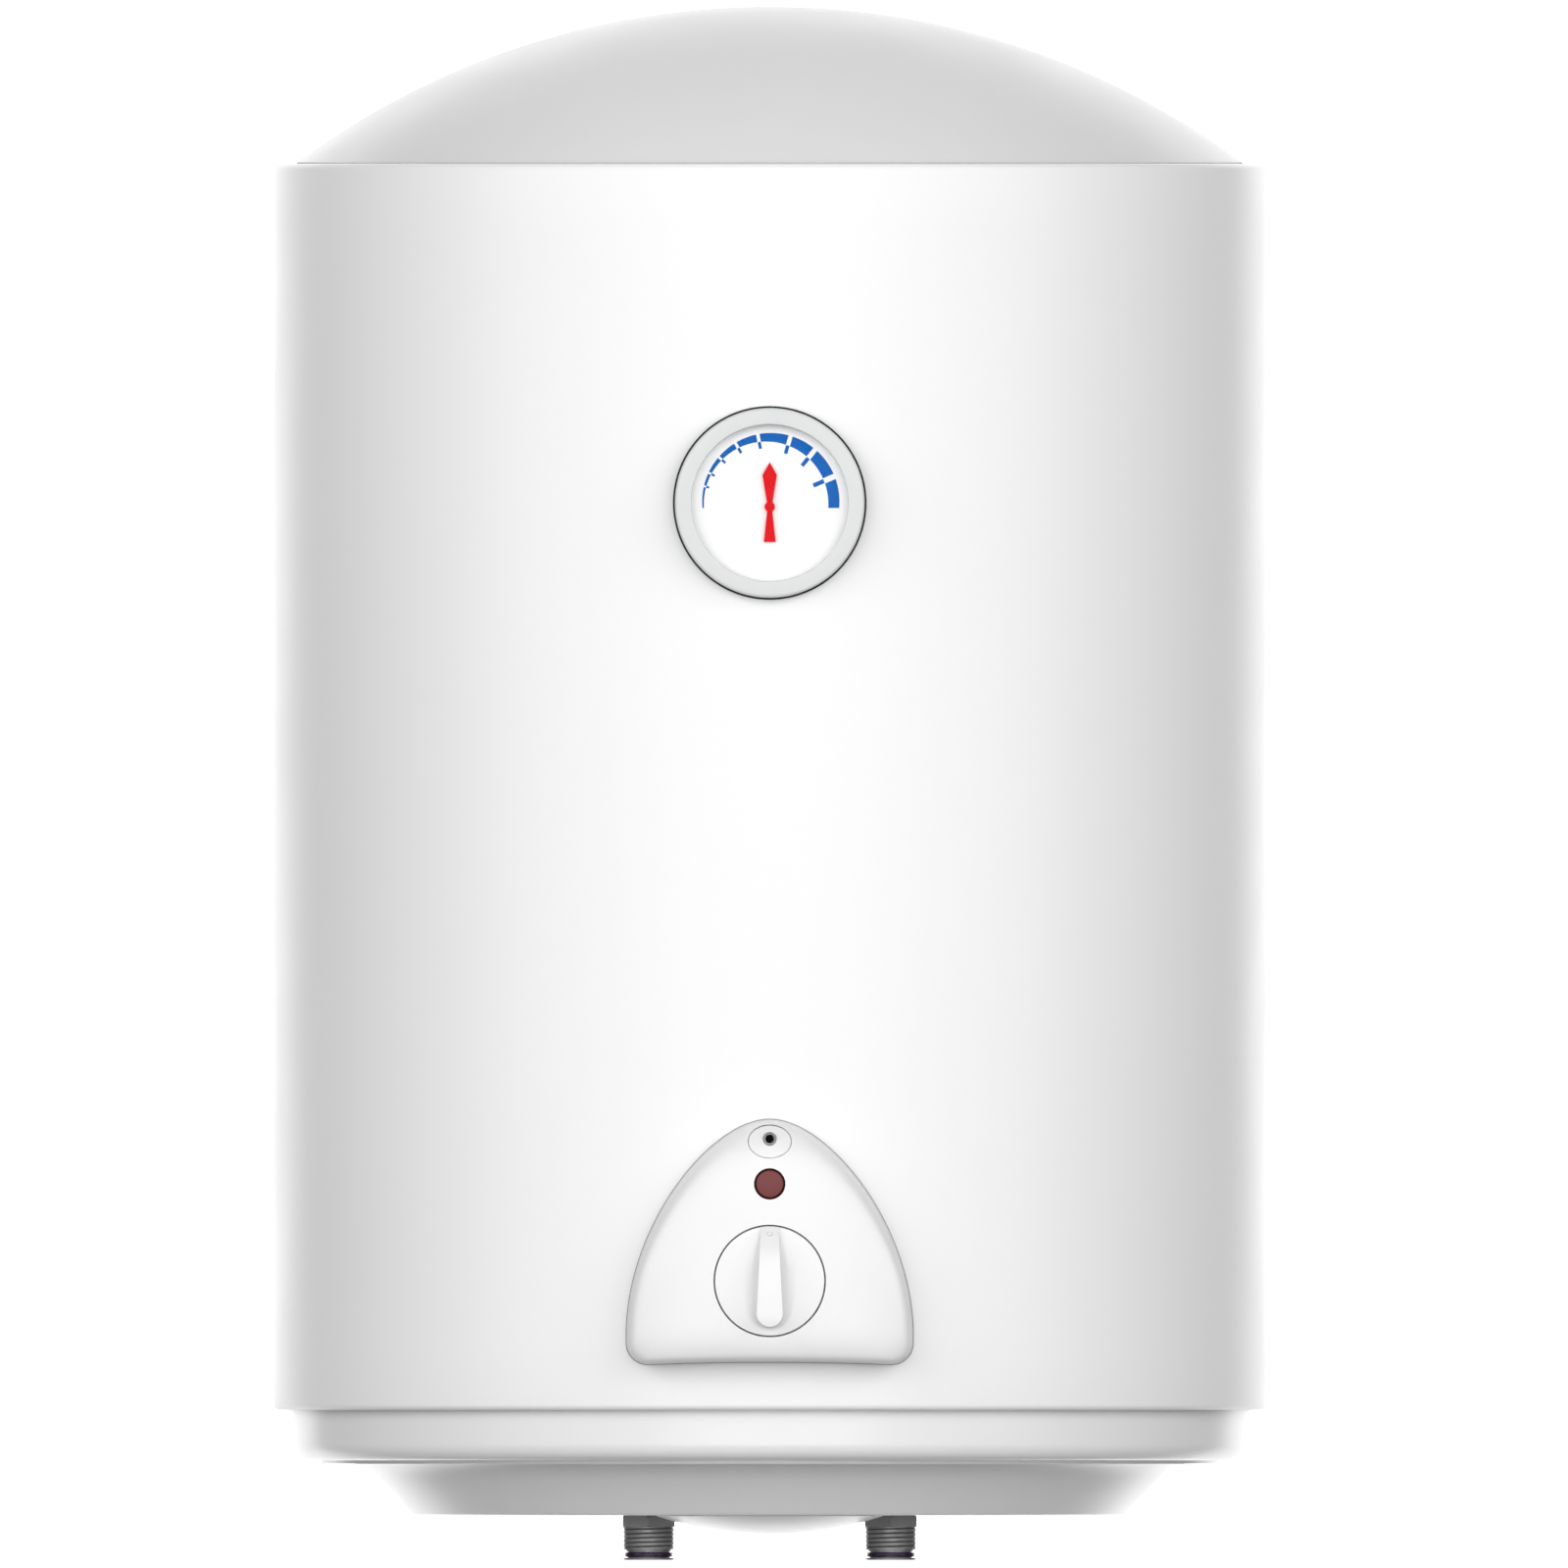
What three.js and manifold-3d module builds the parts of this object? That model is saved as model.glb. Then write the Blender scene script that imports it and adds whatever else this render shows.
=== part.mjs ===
// Wall-hung electric tank water heater of about 50 litres, with its working parts inside.
// Millimetres, +Z up, +Y into the wall; the front faces -Y.
// The origin is the middle of the wall bracket's back plane.
import * as THREE from 'three';
import { mergeVertices } from 'three/addons/utils/BufferGeometryUtils.js';
import Module from 'manifold-3d';

const wasm = await Module();
wasm.setup();

// ---------------------------------------------------------------- facets and clearances
const largeFacets = 48; // round the jacket, caps, foam and tank
const mediumFacets = 28; // round the knob, gauge and service parts
const smallFacets = 16; // round pipes, bolts and rods
const boltFacets = 8; // round bolt shanks and their holes
const leadFacets = 6;
const seatGap = 0.3; // between pieces that touch
const runningGap = 0.5; // beside turning and sliding pieces
const throughCut = 8; // how far a cutting tool runs past what it cuts

// ---------------------------------------------------------------- jacket and caps
const jacketRadius = 205;
const jacketHeight = 515;
const jacketSheet = 0.8;
const jacketEdgeRound = 2.5;
const topCapInset = 9.4; // from the jacket in to the top cap
const topCapRise = 65;
const capWall = 2.5;
const capSkirt = 12;
const capBead = 1.2;
const bottomCapInset = 6.7; // from the jacket in to the bottom cap
const bottomRingHeight = 20.7;
const bottomRingTaper = 0.7;
const bottomRingRound = 7;
const bottomCapDepth = 43.4;
const bottomPlaneInset = 56.6; // from the jacket in to the flat bottom
const bottomConeAngle = THREE.MathUtils.degToRad(48);
const bottomFilletRadius = 25;

// ---------------------------------------------------------------- service cover
const serviceOpeningRadius = 44;
const serviceCoverRadius = 46.7;
const serviceCoverRise = 8.6;
const serviceCoverWall = 2;
const serviceCoverEdge = 0.8;
const serviceSkirtWall = 1.6;
const serviceBead = 0.6;
const serviceSnapCount = 4;
const serviceSnapSlot = 14;

// ---------------------------------------------------------------- tank and insulation
const insulationThickness = 22;
const tankWall = 2;
const tankHeadHeight = 50;
const tankEndInset = 5;
const headSteps = 4; // facets from the tank's cylinder to the middle of a head
const foamOverTank = 25;
const neckRadius = 23.5; // inside of the flanged neck
const neckWall = 3;
const neckFlangeThickness = 4;
const neckDrop = 11; // from the jacket's bottom edge down to the neck's flange face

// ---------------------------------------------------------------- element flange
const flangeRadius = 40;
const flangeThickness = 3;
const gasketThickness = 2;
const boltCount = 6;
const boltCircleRadius = 33;
const boltRadius = 3;
const boltHeadAcross = 10;
const boltHeadHeight = 4;
const elementTubeRadius = 4;
const elementSpread = 13;
const elementBack = 9;
const elementLength = 235;
const anodeRadius = 9;
const anodeLength = 300;
const anodeFront = 12;
const anodeStudRadius = 4;
const anodeNutAcross = 12;
const anodeNutHeight = 5;
const thermowellRadius = 4.5;
const thermowellWall = 1;
const thermowellLength = 150;
const thermowellBack = 13;
const collarThickness = 2;
const terminalRadius = 5;
const terminalHeight = 5;
const terminalStudRadius = 2;
const terminalStudLength = 9;
const legProud = 1;
const bendSteps = 8;
const boltEndProud = 2;
const anodeStudProud = 2;

// ---------------------------------------------------------------- safety cut-out
const cutoutWidth = 18;
const cutoutLength = 14;
const cutoutHeight = 12;
const cutoutFront = 27;
const resetRadius = 3;
const resetLength = 6;
const resetProud = 3;
const resetTravel = 1.5;

// ---------------------------------------------------------------- pipes
const pipeSpacing = 100;
const pipeBack = 38; // behind the tank's axis
const pipeThreadRadius = 10.4775; // outside of a G1/2 thread
const pipeBore = 7;
const hexAcross = 21.5;
const hexHeight = 4.5;
const nippleThreadLength = 9.4;
const nippleGrooveHeight = 0.8;
const nippleGrooveRadius = 9.3;
const nippleTop = -4; // end of the nipple inside its socket
const bandHeight = 1.9;
const bandRadius = 9.9;
const bandSeatRadius = 8.7;
const endCrestHeight = 1;
const threadChamfer = 0.4;
const socketRadius = 15;
const socketBelow = 22; // from the jacket's bottom edge down to the socket's mouth
const socketAbove = 14;
const tubeWall = 1;
const outletTubeTopGap = 22;
const tubeFoot = -20; // lower end of both tubes, inside the nipples
const diffuserHeight = 60;
const diffuserCapRadius = 18;
const diffuserCapThickness = 3;
const diffuserLip = 2;
const diffuserWindowDrop = 4; // below the cap
const diffuserWindowHeight = 10;

// ---------------------------------------------------------------- control panel on the front
const coverBottom = 18.8;
const coverHalfWidth = 59.3;
const coverHeight = 101.5;
const coverCorner = 9;
const coverSideStraight = 15;
const coverSidePull = 46;
const coverSideLean = 1.8;
const coverSideSteps = 8;
const coverBottomSteps = 3;
const coverTopPull = 22.7;
const coverRim = 5;
const coverCrown = 16;
const coverCrownCentre = 38;
const coverCrownPower = 3.2;
const crownScales = [0.985, 0.94, 0.85, 0.7, 0.45];
const coverWall = 2.2;
const openingShare = 0.78; // jacket opening over the cover's outline
const knobHeight = 53.4;
const knobWellRadius = 23;
const knobWellFloor = 12;
const knobDiscFront = 20;
const knobEdgeRound = 0.8;
const knobHubRadius = 5.5;
const gripTopWidth = 8;
const gripWidth = 11.3;
const gripWideDrop = 12;
const gripEndDrop = 18.9;
const gripLowRise = 0.9;
const gripHighRise = 9;
const gripCurveEnd = -8;
const spindleRadius = 3;
const spindleFlat = 2;
const spindleFront = 15;
const spindleBack = 12;
const spindleFlatLength = 11;
const lensHeight = 93.5;
const lensRadius = 6.6;
const lensFlange = 1.6;
const lensFlangeThickness = 1.4;
const lensWall = 1.4;
const lensDepth = 13.8;
const lensFront = 19.8; // at its rim
const lensEdgeRound = 0.5;
const lensRise = 0.4; // from the rim to the middle
const lampRadius = 3;
const lampBaseRadius = 4;
const lampBack = 8;
const lampTipInset = 4; // behind the lens's front
const lampBulbLength = 8;
const screwHeight = 112.1;
const screwBore = 2;
const screwHeadRadius = 1.7;
const screwHeadThickness = 1.8;
const screwShankRadius = 1.25;
const screwBossWall = 2.2;
const screwSurround = 2.9;
const screwSurroundFloor = 15.6;
const screwSeat = 6;
const bracketSheet = 1.5;
const bracketHalfWidth = 28;
const bracketTop = 97;
const bracketTabHalfWidth = 6;
const bracketTabTop = 115.5;
const bracketFoot = 25;
const bracketStandoff = 0.8;
const legBottom = 32;
const legTop = 80;
const thermostatWidth = 36;
const thermostatHeight = 44;
const thermostatDepth = 18;
const thermostatCorner = 3;
const bushingRadius = 5;
const bushingLength = 2.6;
const capillaryRadius = 1;
const capillaryBeside = 10; // left of the knob
const capillaryInset = 14; // behind the jacket's front line
const capillaryBend = 18; // how far back its first bend reaches
const capillaryBendTop = 8;
const capillaryBendFoot = -14;
const capillaryFront = 120; // in front of the heater's axis, where it has dropped below the flange
const capillaryDrop = 18; // below the flange
const capillaryRise = 2;
const capillaryTurn = [8, 6]; // from the well, where it turns up into it
const bulbRadius = 3;
const bulbLength = 90;
const pocketBeside = 8;

// ---------------------------------------------------------------- thermometer
const gaugeHeight = 374.8;
const gaugeRadius = 40;
const gaugeWindowRadius = 32.3;
const gaugeInnerRadius = 35;
const gaugeFront = 7.7;
const gaugeLip = 1.5;
const gaugeChamfer = 1.6;
const gaugeCaseRadius = 29.5;
const gaugeCaseDepth = 14;
const gaugeCaseWall = 2;
const gaugeFlangeThickness = 0.8;
const gaugeStemRadius = 5;
const dialThickness = 0.6;
const pointerThickness = 0.6;
const pointerLift = 0.9;
const glassThickness = 1.5;
const pivotDrop = 1.6;
const pivotRadius = 1.2;
const pointerHub = 2.2;
const pointerTip = 18.5;
const pointerTail = 14.5;
const coilStrip = 0.6;
const coilWidth = 6;
const coilTurns = 4;
const coilStepsPerTurn = 16;
const pivotDepth = 4;
const pointerShoulder = 3;
const pointerShoulderHeight = 13.1;
const pointerWaist = 0.9;
const pointerTailHalf = 2.45;

// ---------------------------------------------------------------- wall side
const wallGap = 15;
const bracketHeight = 365;
const wallPlateThickness = 3;
const wallPlateHalfWidth = 91.5;
const wallPlateHeight = 44;
const wallPlateBend = 5;
const hookSlotSpacing = 120;
const hookSlotWidth = 12;
const hookSlotHeight = 24;
const spacerHeight = 60;
const spacerWidth = 60;
const spacerTall = 30;
const spacerStem = 4;
const spacerStemLength = 12;
const grommetBack = 100;
const grommetRadius = 10;
const grommetNeckRadius = 5.7;
const grommetBore = 4;
const grommetLip = 2.5;
const grommetInnerLip = 2.3; // how far it grips round the hole inside
const grommetTaper = 1;

// ---------------------------------------------------------------- worked out from the sizes above
const topCapRadius = jacketRadius - topCapInset;
const bottomCapRadius = jacketRadius - bottomCapInset;
const bottomPlaneRadius = jacketRadius - bottomPlaneInset;
const tankRadius = jacketRadius - insulationThickness;
const tankTop = jacketHeight - tankEndInset;
const foamRadius = jacketRadius - jacketSheet - seatGap;
const foamBottom = capSkirt + 1;
const bottomCapInside = -bottomCapDepth + capWall;
const neckFace = -neckDrop;
const gasketFace = neckFace - seatGap - gasketThickness;
const flangeTopFace = gasketFace - seatGap;
const flangeFace = flangeTopFace - flangeThickness;
const underFlange = flangeFace - seatGap;
const spigotRadius = pipeThreadRadius;
const resetTop = underFlange - cutoutHeight - resetProud + resetLength;
const nippleHexTop = -bottomCapDepth - seatGap;
const nippleThreadEnd = nippleHexTop - hexHeight - nippleThreadLength;
const bandTop = nippleThreadEnd - nippleGrooveHeight;
const crestTop = bandTop - bandHeight - 2 * seatGap;
const nippleEnd = crestTop - endCrestHeight;
const tubeRadius = pipeBore - seatGap;
const thermostatFront = bracketStandoff - seatGap;
const webFront = bracketStandoff + bracketSheet;
const knobDiscBack = knobWellFloor + seatGap;
const bezelBack = -6;
const dialBack = seatGap + gaugeFlangeThickness + seatGap;
const dialTop = dialBack + dialThickness;
const pointerBack = dialTop + pointerLift;
const glassFront = gaugeFront - gaugeLip - seatGap;
const heaterSetBack = -(jacketRadius + wallGap);

// ---------------------------------------------------------------- finishes
function finish(color, roughness, metalness) {
  return new THREE.MeshStandardMaterial({ color, roughness, metalness });
}

const whiteEnamel = finish(0xf4f4f4, 0.25, 0.0);
const whitePlastic = finish(0xf1f1f0, 0.35, 0.0);
const greyWhitePlastic = finish(0xe3e3e2, 0.4, 0.0);
const foamYellow = finish(0xdccb8a, 0.95, 0.0);
const tankEnamel = finish(0x39516b, 0.4, 0.2);
const bareSteel = finish(0x9a9c9e, 0.4, 0.9);
const darkSteel = finish(0x55575a, 0.45, 0.8);
const darkBand = finish(0x241830, 0.5, 0.0);
const brassMetal = finish(0xb8974a, 0.35, 0.9);
const copperMetal = finish(0xb5694a, 0.35, 0.9);
const magnesium = finish(0x8f9294, 0.6, 0.7);
const blackRubber = finish(0x1c1c1e, 0.8, 0.0);
const blackPlastic = finish(0x232325, 0.5, 0.0);
const redPlastic = finish(0xb5171b, 0.4, 0.0);
const ceramicWhite = finish(0xe9e6dd, 0.5, 0.0);
const clearGlass = finish(0xf5f8f8, 0.05, 0.0);
const lensRed = finish(0x6b2a2c, 0.2, 0.0);
const dialWhite = finish(0xfafafa, 0.6, 0.0);
const bezelGrey = finish(0xdfe2e1, 0.35, 0.0);
const pointerRed = finish(0xd8121d, 0.4, 0.0);
const lampOrange = finish(0xd9713a, 0.2, 0.0);

// ---------------------------------------------------------------- solids, cuts and joins
/** Turns a closed geometry into a manifold solid with its faces pointing out. */
function solidOf(geometry) {
  const bare = geometry.clone();
  bare.deleteAttribute('normal');
  bare.deleteAttribute('uv');
  const merged = mergeVertices(bare, 1e-4);
  const points = merged.attributes.position.array;
  const triangles = [];
  let volume = 0;
  for (let i = 0; i < merged.index.count; i += 3) {
    const [a, b, c] = [0, 1, 2].map((k) => merged.index.getX(i + k));
    if (a === b || b === c || c === a) continue;
    triangles.push([a, b, c]);
    volume += sixfoldVolume(points, a, b, c);
  }
  if (volume < 0) triangles.forEach((corners) => corners.reverse());
  return new wasm.Manifold(
    new wasm.Mesh({ numProp: 3, vertProperties: new Float32Array(points), triVerts: new Uint32Array(triangles.flat()) }),
  );
}

/** Six times the signed volume of the tetrahedron from the origin to one triangle. */
function sixfoldVolume(points, a, b, c) {
  const [p, q, r] = [a, b, c].map((k) => new THREE.Vector3().fromArray(points, 3 * k));
  return p.dot(q.cross(r));
}

/** Turns a manifold solid back into a geometry. */
function geometryOf(solid) {
  const mesh = solid.getMesh();
  const geometry = new THREE.BufferGeometry();
  geometry.setAttribute('position', new THREE.BufferAttribute(mesh.vertProperties, 3));
  geometry.setIndex(new THREE.BufferAttribute(mesh.triVerts, 1));
  return geometry;
}

/** Cuts every tool out of a geometry. */
function cut(geometry, tools) {
  return geometryOf(tools.reduce((solid, tool) => solid.subtract(solidOf(tool)), solidOf(geometry)));
}

/** Joins geometries that overlap into one body. */
function join(geometries) {
  return geometryOf(geometries.map(solidOf).reduce((solid, next) => solid.add(next)));
}

/** Keeps what two geometries share. */
function shared(first, second) {
  return geometryOf(solidOf(first).intersect(solidOf(second)));
}

/** Adds one named piece to a group. */
function piece(group, name, geometry, material) {
  const mesh = new THREE.Mesh(geometryOf(solidOf(geometry)), material);
  mesh.name = name;
  group.add(mesh);
  return mesh;
}

// ---------------------------------------------------------------- outlines and basic forms
/** Points of an arc from one angle to another, in degrees. */
function arc(centreX, centreY, radius, from, to, steps) {
  return ellipseArc(centreX, centreY, radius, radius, from, to, steps);
}

/** Points of an elliptical arc from one angle to another, in degrees. */
function ellipseArc(centreX, centreY, radiusX, radiusY, from, to, steps) {
  const points = [];
  for (let i = 0; i <= steps; i += 1) {
    const angle = THREE.MathUtils.degToRad(from + ((to - from) * i) / steps);
    points.push([centreX + radiusX * Math.cos(angle), centreY + radiusY * Math.sin(angle)]);
  }
  return points;
}

/** Points of a spherical cap's section from the axis out to its rim. */
function capArc(rimRadius, rimHeight, rise, steps) {
  const radius = (rimRadius ** 2 + rise ** 2) / (2 * rise);
  const centre = rimHeight + rise - radius;
  const rimAngle = THREE.MathUtils.radToDeg(Math.asin((rimHeight - centre) / radius));
  const points = arc(0, centre, radius, 90, rimAngle, steps);
  points[0][0] = 0;
  return points;
}

/** Revolves a profile of [radius, height] points about Z; it ends on the axis or closes on itself. */
function spin(profile, facets) {
  const points = profile.map(([radius, height]) => new THREE.Vector2(radius, height));
  const onAxis = points[0].x === 0 && points[points.length - 1].x === 0;
  if (!onAxis) points.push(points[0].clone());
  return new THREE.LatheGeometry(points, facets).rotateX(Math.PI / 2);
}

/** Revolves a profile of [radius, distance to the front] points about the front-to-back axis. */
function spinFront(profile, facets) {
  return spin(profile, facets).rotateX(Math.PI / 2);
}

/** A round bar from one height to another. */
function bar(radius, from, to, facets) {
  return spin([[0, from], [radius, from], [radius, to], [0, to]], facets);
}

/** A round bar along the front-to-back axis, from one distance in front to another. */
function barFront(radius, from, to, facets) {
  return bar(radius, from, to, facets).rotateX(Math.PI / 2);
}

/** A hollow round bar from one height to another. */
function tube(outer, inner, from, to, facets) {
  return spin([[inner, from], [outer, from], [outer, to], [inner, to]], facets);
}

/** A hexagonal bar with corners to the front and back. */
function hexBar(across, from, to) {
  return bar(across / Math.sqrt(3), from, to, 6);
}

/** A box given by its low and high corners. */
function box(low, high) {
  const size = high.map((value, i) => value - low[i]);
  const middle = high.map((value, i) => (value + low[i]) / 2);
  return new THREE.BoxGeometry(...size).translate(...middle);
}

/** A flat outline in X and Y, as thick as the two heights say. */
function plate(outline, from, to, curveSteps = 6) {
  const options = { depth: to - from, bevelEnabled: false, curveSegments: curveSteps };
  return new THREE.ExtrudeGeometry(outline, options).translate(0, 0, from);
}

/** A flat outline in X and Z, between two distances to the front. */
function plateFront(outline, from, to, curveSteps = 6) {
  return plate(outline, from, to, curveSteps).rotateX(Math.PI / 2);
}

/** A flat outline in Y and Z, between two places along X. */
function plateSide(outline, from, to, curveSteps = 6) {
  return plate(outline, from, to, curveSteps).rotateX(Math.PI / 2).rotateZ(Math.PI / 2);
}

/** A rectangle with round corners about a centre. */
function roundedRectangle(centreX, centreY, width, height, corner) {
  const [x, y] = [width / 2 - corner, height / 2 - corner];
  const outline = new THREE.Shape();
  outline.absarc(centreX + x, centreY - y, corner, -Math.PI / 2, 0, false);
  outline.absarc(centreX + x, centreY + y, corner, 0, Math.PI / 2, false);
  outline.absarc(centreX - x, centreY + y, corner, Math.PI / 2, Math.PI, false);
  outline.absarc(centreX - x, centreY - y, corner, Math.PI, Math.PI * 1.5, false);
  outline.closePath();
  return outline;
}

/** A round cord of material along a smooth path through points. */
function sweep(path, radius, steps, facets) {
  const section = new THREE.Shape(arc(0, 0, radius, 0, 360 - 360 / facets, facets - 1).map((p) => new THREE.Vector2(...p)));
  return new THREE.ExtrudeGeometry(section, { steps, extrudePath: path, bevelEnabled: false });
}

/** An upright cylinder about the heater's axis, seen from a group that stands at the jacket's front line. */
function axisCylinder(radius, from, to) {
  return bar(radius, from, to, largeFacets).translate(0, jacketRadius, 0);
}

// ---------------------------------------------------------------- outlines that pieces share
/** Right half of the control cover's outline, from the bottom's middle up to the top's middle. */
function coverHalfOutline() {
  const corner = arc(coverHalfWidth - coverCorner, coverCorner, coverCorner, -90, 0, 3);
  const side = new THREE.CubicBezierCurve(
    new THREE.Vector2(coverHalfWidth, coverSideStraight),
    new THREE.Vector2(coverHalfWidth - coverSideLean, coverSideStraight + coverSidePull),
    new THREE.Vector2(coverTopPull, coverHeight),
    new THREE.Vector2(0, coverHeight),
  );
  const bottom = [];
  for (let i = 0; i < coverBottomSteps; i += 1) bottom.push([((coverHalfWidth - coverCorner) * i) / coverBottomSteps, 0]);
  const low = [...bottom, ...corner].map(([x, y]) => new THREE.Vector2(x, y));
  return [...low, ...side.getPoints(coverSideSteps)];
}

/** Whole outline of the control cover, moved inwards by an inset and scaled about its crown's centre. */
function coverOutline(inset, scale) {
  const right = coverHalfOutline();
  const left = right.slice(1, -1).reverse().map((point) => new THREE.Vector2(-point.x, point.y));
  const whole = [...right, ...left];
  return whole.map((point, i) => {
    const before = whole[(i + whole.length - 1) % whole.length];
    const after = whole[(i + 1) % whole.length];
    const along = after.clone().sub(before).normalize();
    const inner = new THREE.Vector2(point.x - along.y * inset, point.y + along.x * inset);
    return new THREE.Vector2(inner.x * scale, coverCrownCentre + (inner.y - coverCrownCentre) * scale);
  });
}

/** How far the cover's crown stands in front of the jacket, at one scale of the outline. */
function crownDepth(scale, rim, crown) {
  return rim + crown * (1 - scale ** coverCrownPower) ** (1 / coverCrownPower);
}

/** Closed pillow over the cover's outline, wrapped round the jacket. */
function coverPillow(inset, base, crown) {
  const rings = [coverRing(inset, 1, base), coverRing(inset, 1, coverRim)];
  crownScales.forEach((scale) => rings.push(coverRing(inset, scale, crownDepth(scale, coverRim, crown))));
  return loft(rings);
}

/** One ring of the cover: its outline, wrapped round the jacket at a depth. */
function coverRing(inset, scale, depth) {
  return coverOutline(inset, scale).map((point) => {
    const back = jacketRadius - Math.sqrt(jacketRadius ** 2 - point.x ** 2);
    return new THREE.Vector3(point.x, back - depth, point.y + coverBottom);
  });
}

/** Closed body through rings of as many points each, with a fan over both ends. */
function loft(rings) {
  const count = rings[0].length;
  const points = rings.flat();
  const triangles = [];
  for (let ring = 0; ring + 1 < rings.length; ring += 1) {
    for (let i = 0; i < count; i += 1) {
      const [a, b] = [ring * count + i, ring * count + ((i + 1) % count)];
      triangles.push(a, b, b + count, a, b + count, a + count);
    }
  }
  [0, rings.length - 1].forEach((ring) => {
    const middle = points.length;
    points.push(rings[ring].reduce((sum, point) => sum.add(point), new THREE.Vector3()).divideScalar(count));
    for (let i = 0; i < count; i += 1) {
      const [a, b] = [ring * count + i, ring * count + ((i + 1) % count)];
      triangles.push(...(ring === 0 ? [middle, b, a] : [middle, a, b]));
    }
  });
  return new THREE.BufferGeometry().setFromPoints(points).setIndex(triangles);
}

/** A round bar bent to a hairpin in the X-Z plane: up one leg, round the bend and down the other. */
function hairpin(spread, from, to, radius, facets) {
  const bend = arc(0, to - spread, spread, 0, 180, bendSteps);
  const stations = [[spread, from], ...bend, [-spread, from]];
  const turns = [0, ...bend.map((point, i) => (180 * i) / bendSteps), 180];
  const rings = stations.map(([x, z], i) => {
    const tilt = THREE.MathUtils.degToRad(turns[i]);
    return arc(0, 0, radius, 0, 360 - 360 / facets, facets - 1).map(
      ([out, side]) => new THREE.Vector3(x + out * Math.cos(tilt), side, z + out * Math.sin(tilt)),
    );
  });
  return loft(rings);
}

/** A round bar with a flat on top, along the front-to-back axis. */
function flattedBar(radius, flat, from, to) {
  const rise = THREE.MathUtils.radToDeg(Math.asin(flat / radius));
  const outline = new THREE.Shape(arc(0, 0, radius, 180 - rise, 360 + rise, 16).map((p) => new THREE.Vector2(...p)));
  return plateFront(outline, from, to);
}

// ---------------------------------------------------------------- casing
/** Section of the jacket: sheet steel with a hem turned in at both ends. */
function jacketProfile() {
  const centre = jacketRadius - jacketEdgeRound;
  const inner = jacketEdgeRound - jacketSheet;
  return [
    [bottomCapRadius + seatGap, 0],
    ...arc(centre, jacketEdgeRound, jacketEdgeRound, -90, 0, 3),
    ...arc(centre, jacketHeight - jacketEdgeRound, jacketEdgeRound, 0, 90, 3),
    [topCapRadius + seatGap, jacketHeight],
    [topCapRadius + seatGap, jacketHeight - jacketSheet],
    ...arc(centre, jacketHeight - jacketEdgeRound, inner, 90, 0, 2),
    ...arc(centre, jacketEdgeRound, inner, 0, -90, 2),
    [bottomCapRadius + seatGap, jacketSheet],
  ];
}

/** Jacket with its holes for the gauge, the controls, the wall bracket's legs and the spacer's stem. */
function outerJacket() {
  const front = -jacketRadius;
  const gaugeHole = barFront(gaugeCaseRadius + seatGap, -throughCut, throughCut, mediumFacets);
  const controlHole = plateFront(new THREE.Shape(coverOutline(0, openingShare)), -2 * throughCut, throughCut);
  return cut(spin(jacketProfile(), largeFacets), [
    gaugeHole.translate(0, front, gaugeHeight),
    controlHole.translate(0, front, coverBottom),
    ...bracketSlots(),
    spacerStemBar(seatGap),
  ]);
}

/** Boxes round the wall bracket's legs, with clearance, for the jacket and the foam. */
function bracketSlots() {
  const half = wallPlateHeight / 2 + seatGap;
  return [-1, 1].map((side) => {
    const centre = side * (wallPlateHalfWidth - wallPlateThickness / 2);
    const reach = wallPlateThickness / 2 + seatGap;
    const low = [centre - reach, 0, bracketHeight - half];
    return box(low, [centre + reach, jacketRadius + throughCut, bracketHeight + half]);
  });
}

/** Stem of the lower wall spacer, wider by a clearance. */
function spacerStemBar(clearance) {
  const end = jacketRadius - spacerStemLength - clearance;
  return barFront(spacerStem + clearance, -(jacketRadius + throughCut / 2), -end, smallFacets).translate(0, 0, spacerHeight);
}

/** Top cap: a dome with a skirt that snaps under the jacket's hem. */
function topCap() {
  const inner = topCapRadius - capWall;
  const sphere = (topCapRadius ** 2 + topCapRise ** 2) / (2 * topCapRise) - capWall;
  const sphereCentre = jacketHeight + topCapRise - capWall - sphere;
  const innerRim = sphereCentre + Math.sqrt(sphere ** 2 - inner ** 2);
  const hem = jacketHeight - jacketSheet - seatGap;
  return spin([
    ...capArc(topCapRadius, jacketHeight, topCapRise, 6),
    [topCapRadius, hem],
    [topCapRadius + capBead, hem],
    [topCapRadius, jacketHeight - capSkirt],
    [inner, jacketHeight - capSkirt],
    ...capArc(inner, innerRim, jacketHeight + topCapRise - capWall - innerRim, 3).reverse(),
  ], largeFacets);
}

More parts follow.
